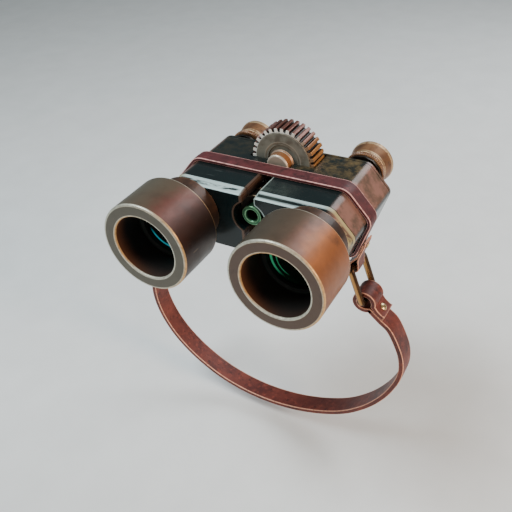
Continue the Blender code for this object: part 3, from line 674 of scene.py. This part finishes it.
def rounded(points, radius, steps=3, closed=True):
    """The points as (u, v, edge) with every corner eased by a small arc; edge is 1 on the eased corners."""
    result = []
    count = len(points)
    for i, point in enumerate(points):
        corner = Vector(point[:2])
        if not closed and i in (0, count - 1):
            result.append((*corner, 0.0))
            continue
        before, after = Vector(points[i - 1][:2]), Vector(points[(i + 1) % count][:2])
        a, b = before - corner, after - corner
        own = point[2] if len(point) > 2 else radius
        reach = min(own, a.length * 0.42, b.length * 0.42)
        start, end = corner + a.normalized() * reach, corner + b.normalized() * reach
        result.append((*(start + a.normalized() * min(0.3, a.length * 0.05)), 0.0))
        for k in range(steps + 1):
            t = k / steps
            spot = start * (1 - t) ** 2 + corner * 2 * t * (1 - t) + end * t**2
            result.append((*spot, 1.0))
        result.append((*(end + b.normalized() * min(0.3, b.length * 0.05)), 0.0))
    return result


def lathe_mesh(profile, segments):
    """A closed (radius, y, edge) profile turned about Y, as a bmesh with an edge layer."""
    bm = bmesh.new()
    layer = bm.verts.layers.float.new("edge")
    rings = []
    for radius, y, edge in profile:
        angles = [0] if radius == 0 else [2 * pi * i / segments for i in range(segments)]
        ring = [bm.verts.new((radius * cos(a), y, radius * sin(a))) for a in angles]
        for vert in ring:
            vert[layer] = edge
        rings.append(ring)
    for ring, following in zip(rings, rings[1:] + rings[:1]):
        if len(ring) == 1 and len(following) == 1:
            continue
        for i in range(segments):
            j = (i + 1) % segments
            near = [ring[i % len(ring)], ring[j % len(ring)]]
            far = [following[j % len(following)], following[i % len(following)]]
            bm.faces.new(list(dict.fromkeys(near + far)))
    return bm


def lathe(name, finish, profile, x=0.0, z=0.0, segments=96, ease=0.3, place=None):
    bm = lathe_mesh(rounded(profile, ease), segments)
    bm.transform(place or Matrix.Translation((x, 0, z)))
    return finished(name, bm, finish)


def arc(centre, radius, start, end, steps):
    angles = (start + (end - start) * i / steps for i in range(steps + 1))
    return [(centre[0] + radius * cos(a), centre[1] + radius * sin(a)) for a in angles]


def corner_arc(before, corner, after, radius, steps):
    a = (Vector(before) - Vector(corner)).normalized()
    b = (Vector(after) - Vector(corner)).normalized()
    half = a.angle(b) / 2
    centre = Vector(corner) + (a + b).normalized() * radius / sin(half)
    reach = radius * cos(half) / sin(half)
    first, last = Vector(corner) + a * reach, Vector(corner) + b * reach
    start = atan2(first.y - centre.y, first.x - centre.x)
    turn = (atan2(last.y - centre.y, last.x - centre.x) - start + pi) % (2 * pi) - pi
    return arc(centre, radius, start, start + turn, steps)


def offset(path, distance):
    """The path moved to its left, along its normals."""
    moved = []
    for i, (x, z) in enumerate(path):
        before, after = path[max(i - 1, 0)], path[min(i + 1, len(path) - 1)]
        dx, dz = after[0] - before[0], after[1] - before[1]
        length = hypot(dx, dz)
        moved.append((x - dz / length * distance, z + dx / length * distance))
    return moved


def housing_path(grow=0.0, steps=10, start_x=GAP):
    """The right housing's outer line, from the slot at the top round to the slot at the bottom."""
    corners = [(GAP, TOP_Z), (TOP_CORNER_X, TOP_Z), (SIDE_X, SIDE_Z), (BOTTOM_CORNER_X, BOTTOM_Z),
               (GAP, BOTTOM_Z)]
    path = [(start_x, TOP_Z + grow)]
    for i, radius in enumerate(CORNER_RADII, 1):
        path += corner_arc(corners[i - 1], corners[i], corners[i + 1], radius, steps)
    path.append((start_x, BOTTOM_Z - grow))
    return path[:1] + offset(path, grow)[1:-1] + path[-1:]


def skinned(bm, rings, closed=False):
    """Faces between rings of vertices of equal length, and from the last to the first where closed."""
    for ring, following in zip(rings, rings[1:] + rings[:1] if closed else rings[1:]):
        for i in range(len(ring)):
            j = (i + 1) % len(ring)
            bm.faces.new((ring[i], ring[j], following[j], following[i]))


def loft(sections):
    """A solid through outlines of equal length, given as (y, [(x, z), ...])."""
    bm = bmesh.new()
    rings = [[bm.verts.new((x, y, z)) for x, z in outline] for y, outline in sections]
    skinned(bm, rings)
    bm.faces.new(rings[0])
    bm.faces.new(rings[-1])
    bmesh.ops.recalc_face_normals(bm, faces=bm.faces)
    return bm


def bored(obj, *cutters):
    """Takes each (radius, front, back, x, z) cylinder out of the object."""
    for radius, front, back, x, z in cutters:
        bm = lathe_mesh([(0, front, 0), (radius, front, 0), (radius, back, 0), (0, back, 0)], 72)
        bm.transform(Matrix.Translation((x, 0, z)))
        subtract(obj, finished("cutter", bm, obj.data.materials[0]))


def subtract(obj, cutter):
    """Takes the cutter out of the object and deletes it."""
    modifier = obj.modifiers.new("cut", "BOOLEAN")
    modifier.solver = "EXACT"
    modifier.object = cutter
    applied(obj)
    bpy.data.objects.remove(cutter, do_unlink=True)


def applied(obj):
    """Bakes the object's modifiers into its mesh."""
    bpy.context.view_layer.update()
    graph = bpy.context.evaluated_depsgraph_get()
    mesh = bpy.data.meshes.new_from_object(obj.evaluated_get(graph))
    obj.modifiers.clear()
    obj.data = mesh


def eased(obj, width, angle=32, segments=2):
    """Rounds the object's sharp edges, keeping its flats flat."""
    bevel = obj.modifiers.new("ease", "BEVEL")
    bevel.width = width * MM
    bevel.segments = segments
    bevel.limit_method = "ANGLE"
    bevel.angle_limit = radians(angle)
    bevel.use_clamp_overlap = True
    applied(obj)
    obj.data.shade_smooth()
    normals = obj.modifiers.new("normals", "WEIGHTED_NORMAL")
    normals.keep_sharp = False
    applied(obj)
    return obj


def ribbon(name, finish, path, thickness, front, back, closed=False, crown=0.12):
    """A leather band along a path in XZ, with rubbed corners (edge layer) and slightly crowned faces."""
    half, t = (back - front) / 2, thickness / 2
    middle = (front + back) / 2
    e = 0.22
    quarter = [(0, t + crown, 0), (half - 1.4, t, 0), (half - 0.7, t, 0.15), (half - e, t - 0.02, 1),
               (half, t - e, 1), (half, t - e - 0.25, 0.1)]
    section = quarter + [(u, -v, k) for u, v, k in reversed(quarter)]
    section += [(-u, v, k) for u, v, k in reversed(section[1:-1])]
    bm = bmesh.new()
    layer = bm.verts.layers.float.new("edge")
    sides = offset(path + path[:2], 1.0)[:len(path)] if closed else offset(path, 1.0)
    rings = []
    for (x, z), (nx, nz) in zip(path, sides):
        normal = Vector((nx - x, 0, nz - z)).normalized()
        ring = []
        for u, v, edge in section:
            vert = bm.verts.new(Vector((x, middle + u, z)) + normal * v)
            vert[layer] = edge
            ring.append(vert)
        rings.append(ring)
    skinned(bm, rings, closed)
    if not closed:
        for ring in (rings[0], rings[-1]):
            bm.faces.new(ring)
            for vert in ring:
                vert[layer] = max(vert[layer], 0.6)
    return finished(name, bm, finish, 50)


def smooth_route(points, steps=6):
    """A Catmull-Rom curve through the points."""
    route = []
    padded = [points[0], *points, points[-1]]
    for p0, p1, p2, p3 in zip(padded, padded[1:], padded[2:], padded[3:]):
        for i in range(steps):
            t = i / steps
            route.append(tuple(
                0.5 * (2 * b + (c - a) * t + (2 * a - 5 * b + 4 * c - d) * t**2
                       + (3 * b - a - 3 * c + d) * t**3)
                for a, b, c, d in zip(p0, p1, p2, p3)
            ))
    return route + [points[-1]]


# ---- barrels and lenses

def make_barrels():
    brown = brown_finish()
    dark = metal_finish("dark_metal", (0.014, 0.011, 0.009), (0.045, 0.034, 0.026), (0.3, 0.22, 0.14))
    black = metal_finish("ring_black", (0.003, 0.003, 0.003), (0.008, 0.008, 0.007), (0.008, 0.02, 0.014),
                         (0.55, 0.8), 0.0, specular=0.2)
    blue, green = ((0.002, 0.02, 0.024), (0.03, 0.5, 0.62)), ((0.002, 0.026, 0.013), (0.05, 0.42, 0.2))
    glasses = {
        -1: glass_finish("coated_glass_left", -BARREL_X, BARREL_Z, *blue, low_glow=True),
        1: glass_finish("coated_glass_right", BARREL_X, BARREL_Z, *green),
    }
    for side, word in SIDES:
        x, half = side * BARREL_X, f"{word}_half"
        step_y = HOOD_BACK - 4.2
        cup = [(HOOD_BORE_R, HOOD_FRONT, 0.75), (HOOD_R, HOOD_FRONT, 0.95), (HOOD_R, HOOD_BACK, 0.6),
               (BARREL_R + CLEAR, HOOD_BACK), (BARREL_R + CLEAR, step_y), (HOOD_BORE_R, step_y)]
        hood = lathe(f"{word}_hood_shell", hood_finish(side), cup, x, BARREL_Z, 160)
        shown(hood, half, "hood_bronze", f"{word}_objective_hood")
        barrel = [(16, step_y + CLEAR), (BARREL_R, step_y + CLEAR), (BARREL_R, HOOD_BACK + 1.0, 0.5),
                  (TUBE_R + 0.6, HOOD_BACK + 1.6), (TUBE_R + 0.6, HOOD_BACK + 4.6),
                  (TUBE_R, HOOD_BACK + 5.2), (TUBE_R, HOUSING_FRONT - CLEAR), (16, HOUSING_FRONT - CLEAR)]
        piece = lathe(f"{word}_barrel_shell", brown, barrel, x, BARREL_Z, 128, 0.15)
        shown(piece, half, "barrel_brown", f"{word}_objective_barrel")
        front, back, radius = span(f"{word}_objective_lens")
        angles = [i / 12 * pi / 2 for i in range(13)]
        lens = [(radius * sin(a), front + LENS_SAG * sin(a) ** 2, 0.0) for a in angles]
        lens += [(radius, back - LENS_SAG, 0.0), (0, back, 0.0)]
        bm = lathe_mesh(lens, 96)
        bm.transform(Matrix.Translation((x, 0, BARREL_Z)))
        piece = finished(f"{word}_lens_glass", bm, glasses[side])
        shown(piece, half, "coated_glass", f"{word}_objective_lens")
        front, back, outer = span(f"{word}_lens_retaining_ring")
        ring = [(outer - 2.6, back), (outer - 2.2, front + 0.7), (outer - 1.0, front), (outer, front),
                (outer, back)]
        piece = lathe(f"{word}_lens_ring", black, ring, x, BARREL_Z, 96, 0.15)
        shown(piece, half, "dark_metal", f"{word}_lens_retaining_ring")
    return dark


# ---- housings

def make_housings():
    for side, word in SIDES:
        half = f"{word}_half"
        finish = housing_finish(side)

        def outline(grow):
            return [(px * side, pz) for px, pz in housing_path(grow)]

        channel = (CHANNEL_R, HOUSING_FRONT - 1, HOUSING_BACK + 1, 0, 0)
        bm = loft([
            (HOUSING_FRONT, outline(-COVER_BEVEL)),
            (COVER_BACK - 0.9, outline(-0.12)),
            (COVER_BACK, outline(0)),
        ])
        cover = finished(f"{word}_cover_front", bm, finish)
        bored(cover, channel, (14, HOUSING_FRONT - 1, COVER_BACK + 1, side * BARREL_X, BARREL_Z))
        shown(eased(cover, 0.4, 25), half, "cover_black", f"{word}_front_cover")
        front, back = COVER_BACK + CLEAR, REAR_COVER_FRONT - CLEAR
        shell = finished(f"{word}_housing_shell", loft([(front, outline(0)), (back, outline(0))]), finish)
        inner = [(max(px, 21) * side, pz) for px, pz in housing_path(-2.2)]
        pocket = finished("pocket", loft([(front - 1, inner), (back + 1, inner)]), finish)
        subtract(shell, pocket)
        hub_pocket = (7.1, 26.6, 34.3, 0, WHEEL_Z)
        wheel_slot = (18.8, 33.3, back + 1, 0, WHEEL_Z)
        bored(shell, channel, hub_pocket, wheel_slot)
        shown(eased(shell, 0.35), half, "housing_black", f"{word}_prism_housing")
        bm = loft([
            (REAR_COVER_FRONT, outline(0)),
            (HOUSING_BACK - 0.8, outline(0)),
            (HOUSING_BACK, outline(-0.8)),
        ])
        cover = finished(f"{word}_cover_rear", bm, finish)
        bored(cover, channel, (8.8, REAR_COVER_FRONT - 1, HOUSING_BACK + 1, side * BARREL_X, EYE_Z),
              (4.4, REAR_COVER_FRONT - 1, HOUSING_BACK + 1, 0, WHEEL_Z))
        shown(eased(cover, 0.3), half, "cover_black", f"{word}_rear_cover")


# ---- focus wheel and centre

def make_centre(dark):
    steel = metal_finish("dull_steel", (0.16, 0.15, 0.13), (0.3, 0.29, 0.26), (0.55, 0.52, 0.46), scale=30)
    brass = metal_finish("aged_brass", (0.3, 0.19, 0.08), (0.62, 0.45, 0.22), (0.85, 0.7, 0.42),
                         (0.18, 0.34))
    front, back = front_back("focus_gear")
    outline = []
    for tooth in range(TEETH):
        for share, radius in TOOTH_OUTLINE:
            a = (tooth + share) * 2 * pi / TEETH
            outline.append((radius * cos(a), WHEEL_Z + radius * sin(a)))
    gear_look = gear_finish()
    gear = finished("gear_teeth", loft([(front + 0.5, outline), (back, outline)]), gear_look)
    bored(gear, (14.6, front - 1, back + 1, 0, WHEEL_Z))
    eased(gear, 0.22, 38, 1)
    shown(gear, "focus_wheel", "gear_copper", "focus_gear")
    disc = [(3.4, front + 1.2), (8.2, front + 1.2), (8.6, front + 0.55),
            (9.8, front + 0.5), (10.2, front + 0.2), (15.3, front + 0.1),
            (15.5, front + 0.3),
            (15.5, front + 1.4), (14.4, front + 1.4), (14.4, back - 1.2),
            (15.2, back - 0.4), (3.4, back - 0.4)]
    shown(lathe("gear_disc", gear_look, disc, 0, WHEEL_Z, 128, 0.18), "focus_wheel", "gear_copper")
    front, back, radius = span("focus_hub")
    radius += 0.5
    hub = [(0, front, 0), (radius - 0.3, front, 0.8), (radius, back - 1.2, 0.2),
           (radius + 0.4, back - 0.4, 0.3), (radius + 0.4, back), (0, back, 0)]
    shown(lathe("hub_boss", hub_finish(), hub, 0, WHEEL_Z, 96), "focus_wheel", "gear_copper", "focus_hub")
    front, back, radius = span("focus_spindle")
    spindle = [(0, front, 0), (radius, front)]
    y = 48
    while y < back - 1.2:
        spindle += [(radius, y, 0.05), (radius - 0.35, y + 0.3, 0.05), (radius, y + 0.6, 0.05)]
        y += 0.9
    spindle += [(radius - 0.4, back), (0, back, 0)]
    piece = lathe("spindle_screw", steel, spindle, 0, WHEEL_Z, 48, 0.1)
    shown(piece, "focus_wheel", "steel", "focus_spindle")
    _, back, radius = span("hinge_tube")
    rim = radius + 0.6
    tube = [(3.0, 0.9), (3.6, 0, 0.3), (rim, 0, 0.45), (rim, 2.8), (rim - 0.35, 3.0),
            (rim - 0.35, 3.6), (rim, 3.8), (rim, 4.5), (radius, 4.7), (radius, back), (3.0, back)]
    piece = lathe("hinge_tube_shell", green_finish(), tube, 0, 0, 96, 0.15)
    shown(piece, "left_half", "green_anodised", "hinge_tube")
    for word in ("left", "right"):
        front, back = front_back(f"{word}_hinge_lug")
        lug = [(5.0, front), (8.8, front), (8.8, back), (5.0, back)]
        shown(lathe(f"{word}_lug", dark, lug, 0, 0, 72), f"{word}_half", "dark_metal", f"{word}_hinge_lug")
    front, back = front_back("bridge_pin")
    pin = [(0, front, 0), (1.5, front), (1.5, back - 1.7), (3.2, back - 1.7),
           (3.2, back - 0.6, 0.5), (1.2, back - 0.05), (0, back, 0)]
    shown(lathe("bridge_pin_head", steel, pin, 0, 0, 48, 0.2), "left_eyepiece", "steel", "bridge_pin")
    front, back = front_back("spindle_bush")
    bush = [(3.2, front), (4.1, front), (4.1, back), (3.2, back)]
    shown(lathe("bush_ring", brass, bush, 0, WHEEL_Z, 48, 0.15), "left_half", "brass", "spindle_bush")
    for node, body in (("left_bridge_arm", "left_eyepiece"), ("right_bridge_arm", "right_eyepiece"),
                       ("focus_bracket", "left_eyepiece")):
        shown(copied(node, f"{node}_plate", dark, 0.25), body, "dark_metal", node)
    for word in ("left", "right"):
        for number in (1, 2):
            node = f"{word}_cover_screw_{number}"
            shown(slotted_screw(node, steel), f"{word}_half", "steel", node)
    return brass


def copied(node, name, finish, width):
    """A CAD node's own shape with its sharp edges eased."""
    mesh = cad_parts[node].data.copy()
    mesh.materials.clear()
    mesh.materials.append(finish)
    bm = bmesh.new()
    bm.from_mesh(mesh)
    bmesh.ops.remove_doubles(bm, verts=bm.verts, dist=1e-6)
    bmesh.ops.dissolve_limit(bm, angle_limit=radians(0.5), verts=bm.verts, edges=bm.edges)
    bm.to_mesh(mesh)
    bm.free()
    return eased(placed(name, mesh), width, 40)


def slotted_screw(node, finish):
    """A domed screw head with a slot across it."""
    low, high = box(node)
    x, z = (low.x + high.x) / 2, (low.z + high.z) / 2
    profile = [(0, low.y, 0), (1.7, low.y), (1.7, low.y + 0.4, 0.3),
               (0.9, high.y - 0.06), (0, high.y, 0)]
    head = lathe(f"{node}_head", finish, profile, x, z, 40, 0.15)
    bm = bmesh.new()
    bmesh.ops.create_cube(bm, size=1)
    turn = Matrix.Rotation(0.6 + x * 0.4, 4, "Y")
    size = Matrix.Diagonal((5, 0.8, 0.45, 1))
    bm.transform(Matrix.Translation((x, high.y, z)) @ turn @ size)
    subtract(head, finished("slot_cutter", bm, finish))
    return head


# ---- eyepieces

def knurled(name, finish, radius, inner, front, back, x, z):
    """A collar with fine straight ribs round its outside."""
    ribs, outline = 60, []
    for i in range(ribs * 4):
        a = 2 * pi * i / (ribs * 4)
        r = radius - (0.0, 0.05, 0.4, 0.05)[i % 4]
        outline.append((x + r * cos(a), z + r * sin(a)))
    shrunk = [(x + (px - x) * 0.96, z + (pz - z) * 0.96) for px, pz in outline]
    ease = 0.45
    bm = loft([(front, shrunk), (front + ease, outline), (back - ease, outline), (back, shrunk)])
    collar = finished(name, bm, finish, 30)
    bored(collar, (inner, front - 1, back + 1, x, z))
    return collar


def make_eyepieces(dark):
    tan = eyecup_finish()
    for side, word in SIDES:
        x = side * BARREL_X
        slider = f"{word}_eyepiece"
        ocular = "right_dioptre" if side > 0 else slider
        front, back, _ = span(f"{word}_eyepiece_tube")
        tube = [(7.2, front), (8.5, front), (8.5, GROOVE_Y), (8.2, GROOVE_Y + 0.3), (8.2, GROOVE_Y + 1.0),
                (8.5, GROOVE_Y + 1.3), (8.5, back), (7.2, back)]
        piece = lathe(f"{word}_ocular_tube", dark, tube, x, EYE_Z, 80, 0.12)
        shown(piece, slider, "dark_metal", f"{word}_eyepiece_tube")
        collar_node = "right_dioptre_ring" if side > 0 else "left_eyepiece_collar"
        front, back, radius = span(collar_node)
        collar = knurled(f"{word}_collar", tan, radius, 8.8, front, back, x, EYE_Z)
        shown(collar, ocular, "eyecup_tan", collar_node)
        front, back, rim = span(f"{word}_eyecup")
        cup = [(8.0, front), (10.9, front, 0.5), (10.9, front + 1.3), (10.2, front + 1.8),
               (10.3, front + 2.6), (rim - 0.25, back - 2.2, 1.2), (rim, back - 0.9, 0.6),
               (rim - 0.7, back, 0.5), (rim - 1.9, back - 0.1, 0.5),
               (8.9, front + 6), (8.0, front + 5)]
        piece = lathe(f"{word}_eyecup_shell", tan, cup, x, EYE_Z, 120, 0.2)
        shown(piece, ocular, "eyecup_tan", f"{word}_eyecup")
        front, back, radius = span(f"{word}_eye_lens")
        glass = glass_finish(f"coated_eye_glass_{word}", x, EYE_Z, (0.004, 0.03, 0.02), (0.02, 0.1, 0.07))
        angles = [i / 8 * pi / 2 for i in range(9)]
        curve = [(radius * sin(a), back - EYE_LENS_SAG * sin(a) ** 2, 0.0) for a in angles]
        bm = lathe_mesh([(0, front, 0.0), (radius, front + EYE_LENS_SAG, 0.0), *reversed(curve)], 64)
        bm.transform(Matrix.Translation((x, 0, EYE_Z)))
        shown(finished(f"{word}_eye_glass", bm, glass), ocular, "coated_glass", f"{word}_eye_lens")


# ---- leather and rings

def side_face():
    """Foot, direction and outward normal of the housing's lower side face, on the right."""
    run = Vector((BOTTOM_CORNER_X - SIDE_X, BOTTOM_Z - SIDE_Z)).normalized()
    return Vector((SIDE_X, SIDE_Z)), run, Vector((-run.y, run.x))


def make_belt(leather):
    """One belt round both housings, which runs straight across the hinge slot."""
    right = housing_path(CLEAR + BELT_THICK / 2, 12, 8)
    top, bottom = right[0][1], right[-1][1]
    across = [-6, -4, -2, 0, 2, 4, 6]
    long_top = [(x, top) for x in (32, 24, 16)]
    long_bottom = [(x, bottom) for x in (36, 24, 16)]
    right = [right[0], *reversed(long_top), *right[1:-1], *long_bottom, right[-1]]
    left = [(-x, z) for x, z in reversed(right)]
    path = [(x, top) for x in across] + right + [(x, bottom) for x in reversed(across)] + left
    belt = ribbon("body_belt", leather, path, BELT_THICK, BELT_FRONT, BELT_BACK, closed=True)
    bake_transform(belt)
    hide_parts("left_belt_half", "right_belt_half")


def rivet(name, finish, place, outward, side, radius=1.9, height=1.0):
    """A domed stud on the leather, facing outward in XZ."""
    profile = [(0, -1.2, 0), (0.6, -1.2), (0.6, 0), (radius, 0), (radius, height * 0.4, 0.3),
               (radius * 0.55, height * 0.92, 0.3), (0, height, 0)]
    direction = Vector((outward.x * side, 0, outward.y))
    turn = Vector((0, 1, 0)).rotation_difference(direction).to_matrix().to_4x4()
    return lathe(name, finish, profile, segments=48, ease=0.12, place=Matrix.Translation(place) @ turn)


def ring_link(name, finish, side, pivot):
    """The oblong wire ring, slightly hammered."""
    down = Vector((sin(RING_LEAN) * side, 0, -cos(RING_LEAN)))
    across = Vector((0, 1, 0))
    normal = down.cross(across)
    w, n, r = RING_WIDTH / 2, RING_LENGTH, RING_CORNER_R
    corners = ((w - r, r, -90), (w - r, n - r, 0), (r - w, n - r, 90), (r - w, r, 180))
    path = []
    for u, v, start in corners:
        for i in range(9):
            a = radians(start + 90 * i / 8)
            path.append((u + r * cos(a), v + r * sin(a), a))
    bm = bmesh.new()
    bm.verts.layers.float.new("edge")
    centre = Vector((side * pivot.x, STRAP_Y, pivot.y))
    rings = []
    for u, v, angle in path:
        out = across * cos(angle) + down * sin(angle)
        spot = centre + across * u + down * v
        angles = (2 * pi * i / 20 for i in range(20))
        rings.append([bm.verts.new(spot + (out * cos(a) + normal * sin(a)) * WIRE_R) for a in angles])
    skinned(bm, rings, closed=True)
    return finished(name, bm, finish, 80)


def make_fittings(leather, brass):
    bronze = ring_finish()
    foot, run, normal = side_face()
    pivot = foot + run * TAB_REACH + normal * (CLEAR * 2 + BELT_THICK + TAB_THICK / 2)
    bar = pivot + Vector((sin(RING_LEAN), -cos(RING_LEAN))) * RING_LENGTH
    along = Vector((cos(FLAP_ANGLE), sin(FLAP_ANGLE)))
    over = Vector((-along.y, along.x))
    eye = bar + Vector((0, -0.35))
    for side, word in SIDES:
        half = f"{word}_half"
        # the tab: one strip folded round the ring's top bar and riveted to itself
        low_offset, high_offset = -0.4, 0.46
        inner = [pivot - run * s + normal * low_offset for s in (15.5, 13, 10, 6.5, 4.2)]
        outer = [pivot - run * s + normal * (high_offset + lift)
                 for s, lift in ((4.4, 0.5), (6.5, 0.1), (10, 0), (14, 0), (15.6, -0.03), (17.4, -0.35))]
        path = [(px * side, pz) for px, pz in tab_path(inner, outer, pivot, run, normal, TAB_WRAP_R)]
        tab = ribbon(f"{word}_tab_strip", leather, path, TAB_LAYER, BELT_FRONT, BELT_BACK, crown=0.05)
        shown(tab, half, "belt_leather", f"{word}_belt_tab")
        spot = pivot - run * TAB_RIVET_AT + normal * (high_offset + TAB_LAYER / 2 + 0.05)
        stud = rivet(f"{word}_tab_stud", brass, (side * spot.x, BELT_Y, spot.y), normal, side, 1.7, 0.8)
        shown(stud, half, "brass", f"{word}_tab_rivet")
        ring = ring_link(f"{word}_ring_wire", bronze, side, pivot)
        shown(ring, f"{word}_ring", "brass", f"{word}_ring_link")
        # the strap's end: it wraps the ring's bottom bar and lies back on the strap under a stud
        lower = [eye + along * 6.6 - over * HALF_FLAP]
        upper = [eye + along * s + over * (HALF_FLAP + lift)
                 for s, lift in ((6.0, 0.5), (7.4, 0.1), (8.4, 0), (10, 0), (11.6, 0.1), (FLAP_LENGTH, 0.6))]
        start = FLAP_ANGLE - asin(HALF_FLAP / LOOP_R)
        end = FLAP_ANGLE - 2 * pi + asin((HALF_FLAP + 0.9) / LOOP_R)
        path = [tuple(p) for p in lower] + arc(eye, LOOP_R, start, end, 28) + [tuple(p) for p in upper]
        path = [(px * side, pz) for px, pz in path]
        loop = ribbon(f"{word}_strap_end", leather, path, LOOP_LAYER, STRAP_FRONT, STRAP_BACK, crown=0.05)
        shown(loop, half, "strap_leather", f"{word}_strap_loop")
        spot = eye + along * STRAP_RIVET_AT + over * (HALF_FLAP + LOOP_LAYER / 2 + 0.1)
        stud = rivet(f"{word}_strap_stud", brass, (side * spot.x, STRAP_Y, spot.y), over, side, 2.1)
        shown(stud, half, "brass", f"{word}_strap_rivet")
    return eye, along, over


def tab_path(inner, outer, pivot, run, normal, radius):
    """Down the inner layer, round the bar on the ring's far side, and back up the outer layer."""
    heading = atan2(run.y, run.x)
    side_angle = atan2(normal.y, normal.x)
    turn = 1 if (side_angle - heading) % (2 * pi) < pi else -1
    wrap = arc(pivot, radius, side_angle + pi + turn * 0.15, side_angle + pi + turn * (pi - 0.1), 20)
    return [tuple(p) for p in inner[:4]] + wrap + [tuple(p) for p in outer]


def make_strap(leather, eye, along, over):
    """The carry strap: one flat band from under the right flap round to under the left one."""
    right_start = [eye + along * s - over * HALF_FLAP for s in (5.0, 8.0, 11.0, 13.6)]
    route = [Vector(p) for p in STRAP_ROUTE[1:-1]]
    left_end = [Vector((-p.x, p.y)) for p in reversed(right_start)]
    points = [tuple(p) for p in [*right_start, *route, *left_end]]
    path = smooth_route(points)
    strap = ribbon("hanging_strap", leather, path, STRAP_THICK, STRAP_FRONT, STRAP_BACK)
    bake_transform(strap)
    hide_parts("carry_strap")


def main():
    make_camera()
    make_studio()
    belt_tones = (0.038, 0.007, 0.01), (0.118, 0.024, 0.026), (0.78, 0.42, 0.38)
    strap_tones = (0.05, 0.0085, 0.008), (0.2, 0.042, 0.026), (0.85, 0.42, 0.28)
    belt_leather = leather_finish("belt_leather", *belt_tones)
    strap_leather = leather_finish("strap_leather", *strap_tones)
    dark = make_barrels()
    make_housings()
    brass = make_centre(dark)
    make_eyepieces(dark)
    make_belt(belt_leather)
    eye, along, over = make_fittings(strap_leather, brass)
    make_strap(strap_leather, eye, along, over)
    glass = prism_finish()
    for word in ("left", "right"):
        for name in (f"{word}_front_prism", f"{word}_rear_prism"):
            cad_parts[name].data.materials[0] = glass
    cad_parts["hinge_tube_plug"].data.materials[0] = dark


main()
